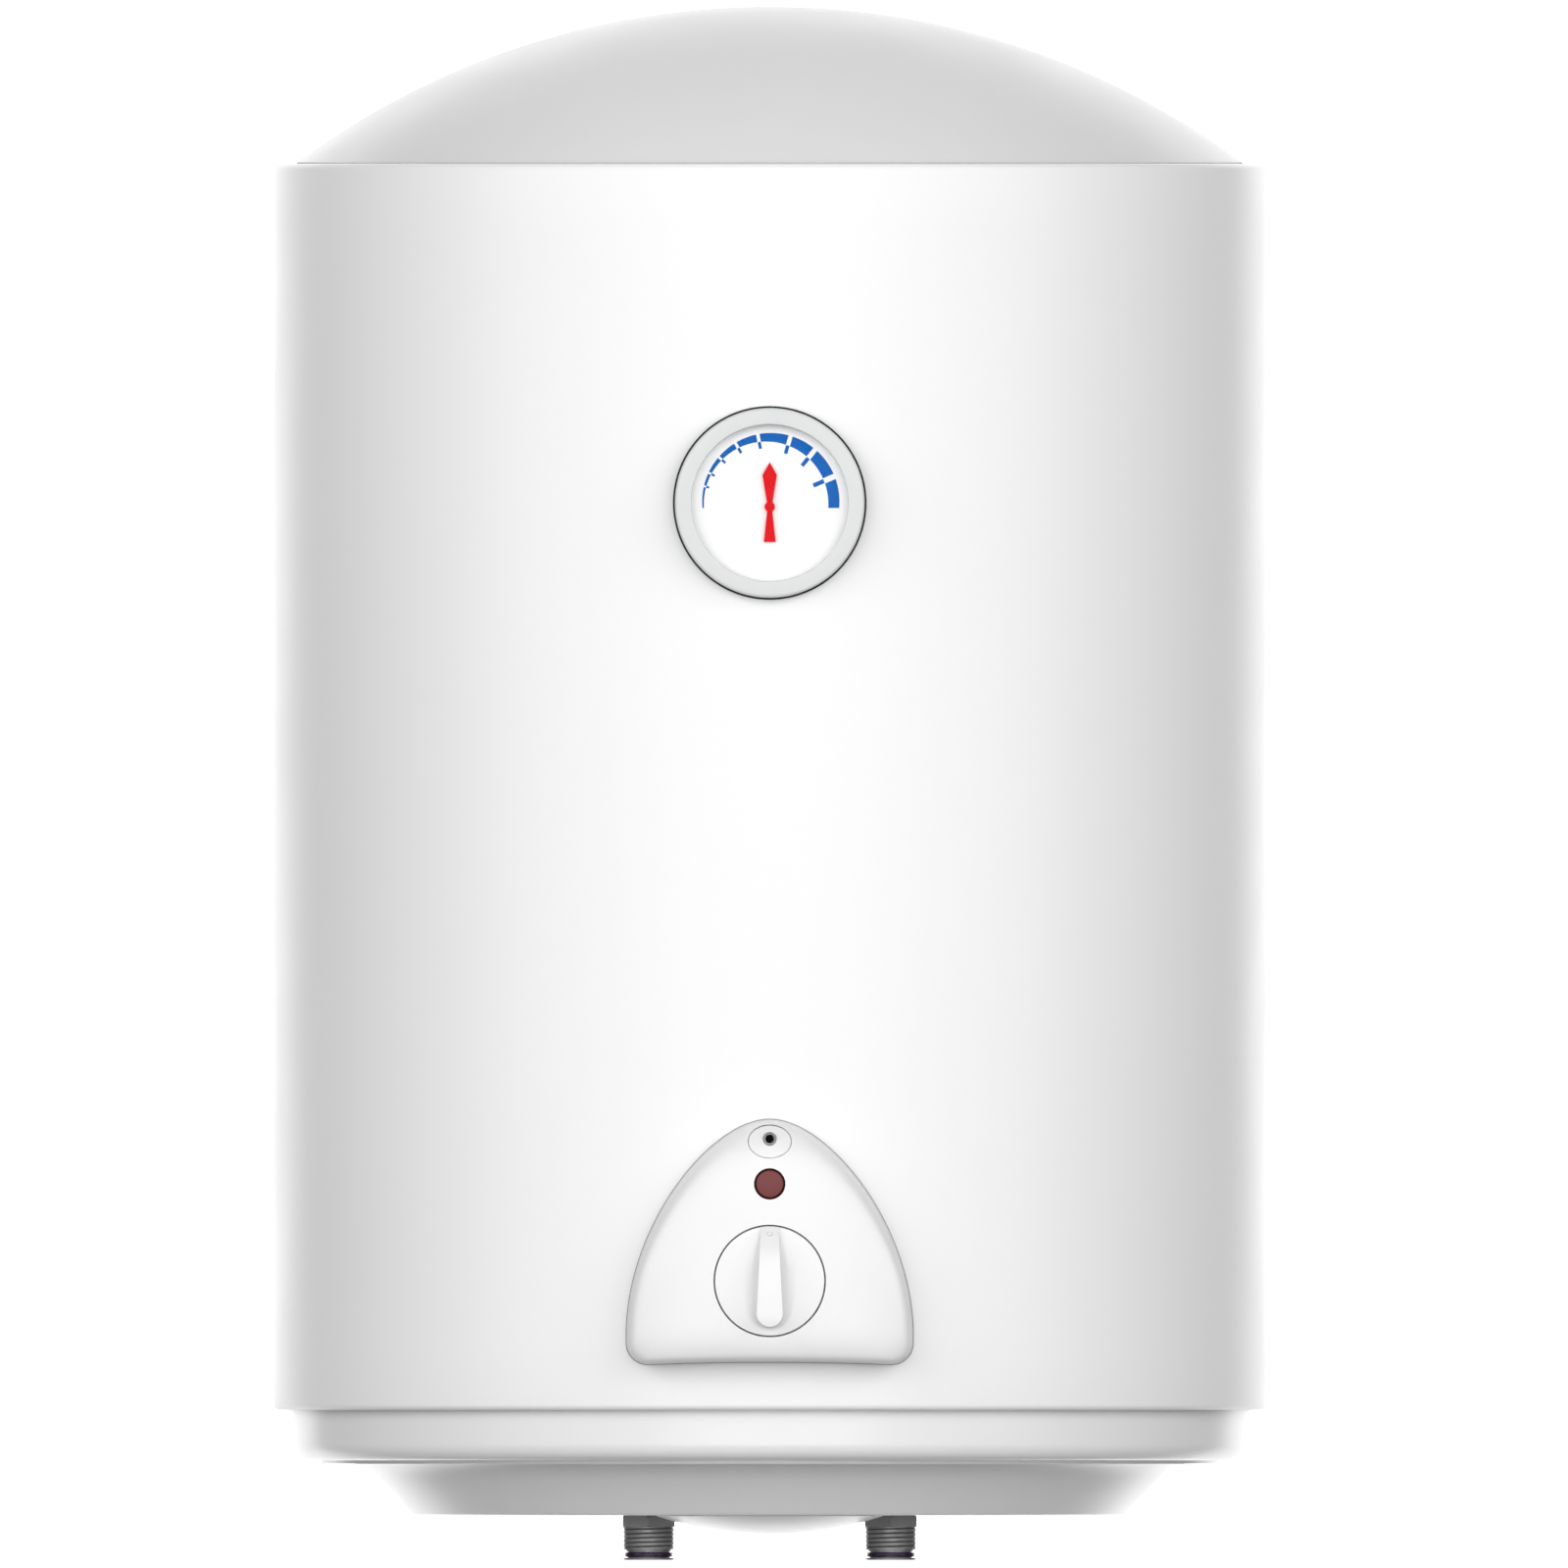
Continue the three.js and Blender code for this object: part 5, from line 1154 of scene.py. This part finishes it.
    def screw_recess(self) -> Shape:
        """Returns the tool that cuts the screw's bore, its seat and its coned mouth."""
        hole, bore, ring, floor = self.screw_hole, self.screw_bore, self.screw_ring, self.ring_floor
        return Shape.lathed(
            PIPE_STEPS, (0, 0), (hole, 0), (hole, self.screw_seat), (bore, self.screw_seat),
            (bore, floor), (ring, floor + ring - bore), (ring, FAR), (0, FAR),
        )

    def pad_groove(self, height: float) -> Shape:
        """Returns the tool that scores the oval pad's outline into the cover's front.

        Args:
            height: the pad's middle over the cover's foot.

        Returns:
            The tool: a thin oval wall, cut off just under the cover's surface.
        """
        walls = []
        for line in (0.0, self.pad_line):
            wall = Shape.rod(1.0, self.rim, FAR, DISC_STEPS).forwards()
            size = (self.pad[0] - line, 1.0, self.pad[1] - line)
            bmesh.ops.scale(wall.mesh, vec=size, verts=wall.mesh.verts[:])
            walls.append(wall.moved(0, 0, height))
        under = self.pillow(-self.pad_cut, self.tool_back, self.crown - self.pad_cut)
        return walls[0].minus(walls[1], under)

    def grip_root(self) -> Shape:
        """Returns the hollow slope at the grip's foot, which fades out towards the rim."""
        end, straight = self.grip_width / 2, self.root_straight
        low = self.grip_end + end
        shape = Shape()
        along_steps, up_steps = self.root_steps
        bmesh.ops.create_grid(shape.mesh, x_segments=along_steps, y_segments=up_steps, size=0.5)
        for vert in shape.mesh.verts:  # x runs from rim to rim round the grip's foot, y up the slope
            side, along = math.copysign(1.0, vert.co.x), 0.5 - abs(vert.co.x)
            turn = math.pi / 2 * (vert.co.y + 0.5)
            share = min(along / straight, 1.0)
            swing = math.pi / 2 * max(along - straight, 0.0) / (0.5 - straight)
            height = self.well + (low - self.well) * share
            fade = (self.well - height) / (self.well - self.root_top)
            fade = min(fade, 1 - self.root_shrink * share**4)
            fade *= 1 - (1 - self.root_low) * math.sin(swing)
            radius = max(self.root * fade, self.root_least)
            half = self.grip_top / 2 + (end - self.grip_top / 2) * share
            reach = half - self.root_sunk + radius * (1 - math.cos(turn))
            depth = self.knob_front + radius * (1 - math.sin(turn))
            vert.co = (side * reach * math.cos(swing), -depth, height - reach * math.sin(swing))
        inside = Shape.rod(self.knob_radius - self.knob_edge, 0, FAR, DISC_STEPS).forwards()
        return shape.thickened(0, self.root_sunk - self.root).within(inside)

    def grip(self) -> Shape:
        """Returns the knob's grip: narrow and low at the rim, round and high past the middle."""
        end, half, well = self.grip_width / 2, self.grip_top / 2, self.well
        start, reach = self.well_floor + 2 * self.grip_sunk, self.knob_front + 2 * self.grip_high
        plan = Shape()
        pen = plan.pen(half, well).line((-half, well), (-end, self.grip_end + end))
        pen.arc(0, self.grip_end + end, 180, 24).close()
        plan.filled().thickened(start, start + reach)
        front = [vert for vert in plan.mesh.verts if vert.co.y < -start - reach / 2]
        bmesh.ops.scale(plan.mesh, vec=(self.grip_draft, 1, 1), verts=front)
        side = Shape()
        low, high = self.knob_front + self.grip_low, self.knob_front + self.grip_high
        back, foot = self.well_floor + self.grip_sunk, self.grip_end - self.grip_sunk
        (level, pull), (lower, before) = self.grip_level, self.grip_swell
        straight = ((high, foot + (level - foot) * step / 8) for step in range(9))
        pen = side.pen(back, foot).line(*straight)
        pen.curve((high, pull), (high - lower, well - before), (low, well), 24)
        pen.line((back, well)).close()
        side.filled().thickened(2 * end, -2 * end).turned(-90, "Z")
        plan.within(side, Shape.rod(self.knob_radius, 0, FAR, DISC_STEPS).forwards())
        return plan.eased(self.grip_ease, 3)

    def knob(self) -> Thing:
        """Builds the knob: a disc flush in the well, its grip, its dot and its hub."""
        radius, hub, shaft, front = self.knob_radius, self.hub, self.shaft_hole, self.knob_front
        back, low, end = self.well_floor + GAP, self.well_floor - self.wall - 1, front - self.shaft_cap
        disc = Shape.lathed(
            DISC_STEPS, (0, front), (radius, front, self.knob_edge), (radius, back), (hub, back),
            (hub, low), (shaft, low), (shaft, end), (0, end),
        )
        dot = Shape()
        bmesh.ops.create_uvsphere(dot.mesh, u_segments=24, v_segments=12, radius=self.dot_radius)
        dot.moved(0, -self.dot_depth, self.dot_height)
        shape = disc.forwards().plus(self.grip_root(), self.grip(), dot)
        origin = DATUM.on_front("thermostat_spindle")
        return shape.placed("knob", origin, WHITE_PLASTIC, "temperature_knob", body=Body.KNOB)

    def lens_cap(self) -> Thing:
        """Builds the red lens, a hollow cap with a flange behind the cover."""
        front, back, wall = self.lens_front, self.lens_back, self.lens_wall
        rim, flange, inner = self.lens, self.lens + self.lens_flange, self.lens - self.lens_wall
        crown, slope = self.lens_crown, self.lens_slope
        shape = Shape.lathed(
            ROD_STEPS, (0, front + crown), (rim - slope, front + crown / 2), (rim, front - crown, 0.5),
            (rim, back + wall), (flange, back + wall, 0.3), (flange, back), (inner, back),
            (inner, front - 2 * wall), (0, front - 2 * wall),
        )
        origin = DATUM.on_front("indicator_lens")
        finish = LensFinish("red_lens", (0.2, 0.06, 0.06), 0.97, 40.0, 0.45, 0.02, relief=0.001,
                            specular=0.15, centre=tuple(origin))
        return shape.forwards().placed("lamp_lens", origin, finish, "indicator_lens")

    def ring(self) -> Thing:
        """Builds the grey ring round the mouth of the screw's bore."""
        back, front, dip = self.eyelet
        inner, outer = self.screw_bore + self.eyelet_gap, self.screw_ring - self.eyelet_gap
        shape = Shape.lathed(PIPE_STEPS, (inner, back - (self.screw_ring - inner)), (outer, back),
                             (outer, front), (inner, front - dip))
        return shape.forwards().placed("screw_eyelet", DATUM.on_front("cover_screw"), EYELET_GREY)

    def screw(self) -> Thing:
        """Builds the cover's screw with a cross recess, down its bore."""
        (wide, head), (shank, start), seat = self.screw_head, self.screw_shank, self.screw_seat + GAP
        slot, half, rise = self.screw_slot
        shape = Shape.lathed(FEW_STEPS, (0, start), (shank, start), (shank, seat), (wide, seat),
                             (wide, seat + head, 0.6), (0, seat + head))
        floor = seat + rise
        for turn in (0, 90):
            blade = Shape.drawn((-slot, floor), (slot, floor), (slot, FAR), (-slot, FAR))
            shape.minus(blade.filled().thickened(half, -half).turned(turn, "Z"))
        origin = DATUM.on_front("cover_screw")
        return shape.forwards().placed("cover_screw_head", origin, BLACK_SCREW, "cover_screw")


# ---------------- thermometer
@dataclass
class Thermometer:
    """Round gauge on the jacket's front: seal, bezel, dial with its scale, pointer and window."""

    radius: float = 40.0
    seal_line: float = 0.8
    seal_front: float = 1.0
    seal_gap: float = 0.05
    window: float = 32.3
    window_slope: Pair = (0.3, 0.8)  # how much wider at the front, and how deep
    inside: float = 35.0
    front: float = 7.7
    lip: float = 1.5
    chamfer: float = 1.3
    back: float = -6.0
    dial: Pair = (1.4, 2.0)  # back and front, as in the next three
    ink: Pair = (2.005, 2.055)
    plate: Pair = (2.9, 3.5)
    glass: Pair = (4.4, 5.9)
    pivot_drop: float = 1.6
    pivot: float = 1.2
    pivot_sunk: float = 0.1
    tip: float = 18.5
    shoulder: float = 3.0
    shoulder_height: float = 13.1
    waist: float = 0.9
    hub: float = 2.15
    hub_rise: float = 0.4
    tail: float = 14.5
    tail_half: float = 2.45
    band_radius: float = 28.36
    band_centre: Pair = (0.45, 0.55)
    hollow_radius: float = 25.7
    hollow_centre: Pair = (-1.5, -0.35)
    band_foot: float = -2.1
    fan_centre: Point = (0.5, 0.0, -0.5)
    marks: tuple[float, ...] = (  # degrees from the left
        15.0, 26.7, 42.1, 59.8, 79.3, 106.1, 129.0, 156.4,
    )
    gap_grows: Pair = (0.55, 2.0)  # at the scale's start, and by how much more at its end
    tick_widens: Pair = (0.75, 1.25)
    tick_grows: Pair = (0.9, 4.5)

    def build(self) -> list[Thing]:
        """Builds the gauge's pieces."""
        return [
            self.seal(), self.bezel(), self.face(), self.scale(), self.arrow(), self.spindle(),
            self.pane(),
        ]

    def origin(self) -> Vector:
        """Returns the gauge's middle on the front line."""
        return DATUM.on_front("gauge_bezel")

    def pivot_point(self) -> Vector:
        """Returns the pointer's axis on the front line."""
        return DATUM.on_front("gauge_spindle")

    def seal(self) -> Thing:
        """Builds the dark rubber seal between the bezel and the jacket, whose rim round the bezel also
        paints the shadow line there.
        """
        shape = Shape.lathed(
            RING_STEPS, (self.inside, self.back), (self.radius, self.back),
            (self.radius, self.seal_front, 0.2), (self.inside, self.seal_front),
        )
        shape.forwards().minus(drum_rod(GAP, -2 * self.radius, 2 * self.radius))
        return shape.placed("gauge_seal_and_shadow_line", self.origin(), RUBBER)

    def bezel(self) -> Thing:
        """Builds the bezel ring, with a lip over the window."""
        inside, outer, window = self.inside, self.radius - self.seal_line, self.window
        wider, deep = self.window_slope
        back, front, lip = self.seal_front + self.seal_gap, self.front, self.front - self.lip
        shape = Shape.lathed(
            RING_STEPS, (inside, back), (outer, back), (outer, front, self.chamfer),
            (window + wider, front, 0.2), (window, front - deep), (window, lip), (inside, lip),
        )
        return shape.forwards().placed("gauge_ring", self.origin(), BEZEL_GREY, "gauge_bezel")

    def face(self) -> Thing:
        """Builds the white dial plate with the spindle's hole."""
        hole = Shape.rod(self.pivot + GAP, 0, FAR, FEW_STEPS).moved(0, -self.pivot_drop, 0)
        shape = Shape.rod(self.inside - GAP, *self.dial, RING_STEPS).minus(hole).forwards()
        return shape.placed("gauge_face", self.origin(), DIAL_WHITE, "gauge_dial")

    def band(self) -> Shape:
        """Returns the scale's blue crescent between its two round edges."""
        shape = Shape()
        rounds = ((self.band_centre, self.band_radius), (self.hollow_centre, self.hollow_radius))
        for (x, z), radius in rounds:
            below = math.degrees(math.asin((self.band_foot - z) / radius))
            start = Vector((radius, 0, 0))
            start.rotate(Matrix.Rotation(math.radians(-below), 3, "Y"))
            shape.pen(x + start.x, z + start.z).arc(x, z, 180 - 2 * below, 90)
        bmesh.ops.bridge_loops(shape.mesh, edges=shape.mesh.edges[:])
        return shape

    def mark(self, angle: float) -> tuple[Vector, list[float]]:
        """Returns a mark's way out from the fan's middle, and its gap, tick width and tick length."""
        turn, sizes = math.radians(180 - angle), (self.gap_grows, self.tick_widens, self.tick_grows)
        ray = Vector((math.cos(turn), 0, math.sin(turn)))
        return ray, [first + more * angle / 180 for first, more in sizes]

    def open_gap(self, shape: Shape, angle: float) -> None:
        """Cuts one gap out of the crescent.

        Args:
            shape: the crescent.
            angle: the mark's angle from the left.
        """
        centre = Vector(self.fan_centre)
        ray, (gap, _, _) = self.mark(angle)
        across, half = Vector((-ray.z, 0, ray.x)), gap / 2
        for side in (-half, half):
            bmesh.ops.bisect_plane(shape.mesh, geom=shape.everything(), dist=HAIR,
                                   plane_co=centre + across * side, plane_no=across)
        inside = []
        for face in shape.mesh.faces:
            reach = face.calc_center_median() - centre
            if abs(reach.dot(across)) < half and reach.dot(ray) > 0:
                inside.append(face)
        bmesh.ops.delete(shape.mesh, geom=inside, context="FACES")

    def add_tick(self, shape: Shape, angle: float) -> None:
        """Adds one tick, just inside the crescent's gap.

        Args:
            shape: the crescent.
            angle: the mark's angle from the left.
        """
        ray, (_, width, length) = self.mark(angle)
        centre, (x, z) = Vector(self.fan_centre), self.hollow_centre
        offset = centre - Vector((x, 0, z))
        along = offset.dot(ray)
        reach = math.sqrt(self.hollow_radius**2 - offset.length_squared + along**2) - along
        flat = Matrix.Rotation(math.radians(90), 4, "X") @ Matrix.Diagonal((length, width, 1, 1))
        place = Matrix.Translation((reach - length / 2, 0, 0))
        turn = Matrix.Rotation(math.radians(angle - 180), 4, "Y")
        matrix = Matrix.Translation(centre) @ turn @ place @ flat
        bmesh.ops.create_grid(shape.mesh, x_segments=1, y_segments=1, size=0.5, matrix=matrix)

    def scale(self) -> Thing:
        """Builds the printed scale: the crescent and its ticks, as thin ink."""
        shape = self.band()
        for step in (self.open_gap, self.add_tick):
            for angle in self.marks:
                step(shape, angle)
        return shape.thickened(*self.ink).placed("dial_scale", self.origin(), SCALE_BLUE)

    def arrow(self) -> Thing:
        """Builds the red pointer: arrow, hub and flared tail."""
        waist, shoulder, high = self.waist, self.shoulder, self.shoulder_height
        back, front = self.plate
        arrow = ((shoulder, high), (0, self.tip), (-shoulder, high))
        tail = ((self.tail_half, -self.tail), (-self.tail_half, -self.tail))
        plates = [
            Shape.drawn((-waist, 0), (waist, 0), *end).filled().thickened(back, front)
            for end in (arrow, tail)
        ]
        top = front + self.hub_rise
        hub = Shape.lathed(PIPE_STEPS, (0, back), (self.hub, back), (self.hub, top, 0.3), (0, top))
        shape = plates[0].plus(plates[1], hub.forwards())
        return shape.placed(
            "pointer_arrow", self.pivot_point(), POINTER_RED, "gauge_pointer", body=Body.POINTER)

    def spindle(self) -> Thing:
        """Builds the pointer's spindle, which ends in the pointer's hub."""
        back = (DATUM.front.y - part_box("gauge_spindle")[1].y) / MM
        front, pivot = self.plate[0] + self.pivot_sunk, self.pivot
        shape = Shape.lathed(FEW_STEPS, (0, front), (pivot, front), (pivot, back, 0.2), (0, back))
        return shape.forwards().placed(
            "pointer_spindle", self.pivot_point(), BARE_STEEL, "gauge_spindle", body=Body.POINTER)

    def pane(self) -> Thing:
        """Builds the gauge's window."""
        shape = Shape.rod(self.inside - GAP, *self.glass, RING_STEPS).forwards().eased(0.2)
        return shape.placed("gauge_window", self.origin(), CLEAR_GLASS, "gauge_glass")


# ---------------- wall side
@dataclass
class WallSide:
    """Bent steel bracket with its hook slots, and the lower spacer, behind the heater."""

    steel_edge: float = 0.35
    spacer_edge: float = 1.2
    plane: float = 30.0

    def build(self) -> list[Thing]:
        """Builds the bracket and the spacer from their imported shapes, with eased edges."""
        here = Vector((0, 0, 0))
        return [
            Shape.of_node(node).eased(edge).placed(name, here, finish, node, plane=self.plane)
            for node, name, edge, finish in (
                ("wall_bracket", "wall_bracket_strap", self.steel_edge, BARE_STEEL),
                ("lower_wall_spacer", "wall_spacer_block", self.spacer_edge, BLACK_PLASTIC),
            )
        ]


# ---------------- what the casing hides
def dress(node: str, finish: Finish) -> Thing:
    """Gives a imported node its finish, and returns its object."""
    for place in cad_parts[node].material_slots:
        place.material = finish.material()
    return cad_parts[node]


@dataclass
class Inside:
    """Tank, element flange, thermostat and gauge works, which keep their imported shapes."""

    bolts: int = 6
    finishes: dict[Finish, str] = field(default_factory=lambda: {
        TANK_ENAMEL: "inner_tank",
        BARE_STEEL: "cold_socket hot_socket hot_outlet_tube element_flange anode_nut control_bracket"
                    " thermostat_spindle",
        WHITE_PLASTIC: "cold_diffuser",
        RUBBER: "flange_gasket",
        COPPER: "heating_element thermowell thermostat_capillary",
        MAGNESIUM: "anode_rod",
        CERAMIC: "element_insulator_left element_insulator_right",
        BRASS: "element_stud_left element_stud_right bimetal_coil",
        BLACK_PLASTIC: "safety_cutout thermostat_body gauge_case",
        RED_PLASTIC: "reset_button",
        LAMP_ORANGE: "indicator_lamp",
    })

    def build(self) -> list[Thing]:
        """Dresses the hidden nodes."""
        named = [(node, finish) for finish, nodes in self.finishes.items() for node in nodes.split()]
        named += [(f"flange_bolt_{number + 1}", BARE_STEEL) for number in range(self.bolts)]
        return [dress(node, finish) for node, finish in named]


# ---------------- studio
@dataclass(frozen=True)
class Lamp:
    """Soft rectangular lamp that faces what it lights."""

    name: str
    azimuth: float  # degrees to the right of the front
    elevation: float  # degrees over the level
    distance: float  # in metres
    size: Pair  # width and height in metres
    glow: float  # radiance

    def hang(self, target: Vector) -> None:
        """Hangs the lamp.

        Args:
            target: the point that it faces.
        """
        data = bpy.data.lights.new(self.name, "AREA")
        data.shape = "RECTANGLE"
        data.size, data.size_y = self.size
        data.energy = self.glow * math.pi * self.size[0] * self.size[1]
        away = Vector((0, -self.distance, 0))
        away.rotate(Matrix.Rotation(math.radians(-self.elevation), 3, "X"))
        away.rotate(Matrix.Rotation(math.radians(self.azimuth), 3, "Z"))
        made = put(self.name, data)
        made.location = target + away
        made.rotation_euler = (-away).to_track_quat("-Z", "Y").to_euler()


@dataclass
class Studio:
    """Level camera, pale sweep and soft lights, in metres."""

    view_width: float = 0.6477
    camera_place: Point = (0.0059, -3.0, -0.1063)
    lamps: tuple[Lamp, ...] = (
        Lamp("key", 0.0, 8.0, 5.2, (5.0, 3.8), 2.38),
        Lamp("left", -48.0, 16.0, 5.2, (4.2, 3.8), 2.05),
        Lamp("right", 48.0, 16.0, 5.2, (4.2, 3.8), 2.05),
        Lamp("top", 180.0, 60.0, 3.2, (2.4, 2.4), 1.0),
    )
    floor_drop: float = 2.4
    sweep_front: float = -8.0
    sweep_back: float = 2.6
    sweep_round: float = 0.8
    sweep_top: float = 1.9
    sweep_half: float = 2.35
    floor_tone: float = 0.36
    floor_gloss: float = 0.9
    glow: float = 2.1
    glow_range: Pair = (-2.6, -1.6)
    ambient: float = 0.17

    def build(self) -> None:
        """Sets up the camera, the stage, the sky and the lights."""
        self.camera()
        self.stage()
        self.sky()
        for lamp in self.lamps:
            lamp.hang((CAD_BOX[0] + CAD_BOX[1]) / 2)

    def camera(self) -> None:
        """Sets a level camera square to the front."""
        data = bpy.data.cameras.new("camera")
        data.type = "ORTHO"
        data.ortho_scale = self.view_width
        made = put("camera", data)
        made.location = self.camera_place
        made.rotation_euler = (math.pi / 2, 0, 0)
        bpy.context.scene.camera = made

    def stage(self) -> None:
        """Builds the pale floor, which sweeps up into the glowing backdrop."""
        floor, bend = CAD_BOX[0].z - self.floor_drop, self.sweep_back - self.sweep_round
        shape = Shape()
        mesh = shape.mesh
        pen = shape.pen(self.sweep_front, floor).line((bend, floor))
        pen.arc(bend, floor + self.sweep_round, 90, 24).line((self.sweep_back, self.sweep_top)).done()
        made = bmesh.ops.extrude_edge_only(mesh, edges=mesh.edges[:])["geom"]
        bmesh.ops.translate(mesh, vec=(0, 2 * self.sweep_half, 0), verts=corners_of(made))
        shape.moved(0, -self.sweep_half, 0).turned(90, "Z")
        for face in mesh.faces:
            face.smooth = True
        sweep = put_mesh("sweep", mesh)
        sweep.data.materials.append(self.paper())

    def paper(self) -> bpy.types.Material:
        """Returns the sweep's paper, which glows where it stands up."""
        board = Board("sweep_paper")
        height = board.add("SeparateXYZ", "Z", {"Vector": board.place})
        board.feed(board.shader, {
            "Base Color": (*(self.floor_tone,) * 3, 1.0),
            "Roughness": self.floor_gloss,
            "Emission Color": (1.0, 1.0, 1.0, 1.0),
            "Emission Strength": board.ranged(height, self.glow_range, (0.0, self.glow)),
        })
        return board.material

    def sky(self) -> None:
        """Sets the even light from all round."""
        world = bpy.data.worlds.new("studio")
        world.use_nodes = True
        background = world.node_tree.nodes["Background"]
        background.inputs["Color"].default_value = (1.0, 1.0, 1.0, 1.0)
        background.inputs["Strength"].default_value = self.ambient
        bpy.context.scene.world = world
        bpy.context.scene.view_settings.view_transform = "Standard"


def main() -> None:
    """Builds the studio and the heater's sub-assemblies."""
    logging.basicConfig(level=logging.INFO, format="%(name)s: %(message)s")
    Studio().build()
    for part in (Casing(), PipeStubs(), ControlPanel(), Thermometer(), WallSide(), Inside()):
        for piece in part.build():
            LOG.info("%s: %s, %d faces", type(part).__name__, piece.name, len(piece.data.polygons))


if __name__ == "__main__":
    main()
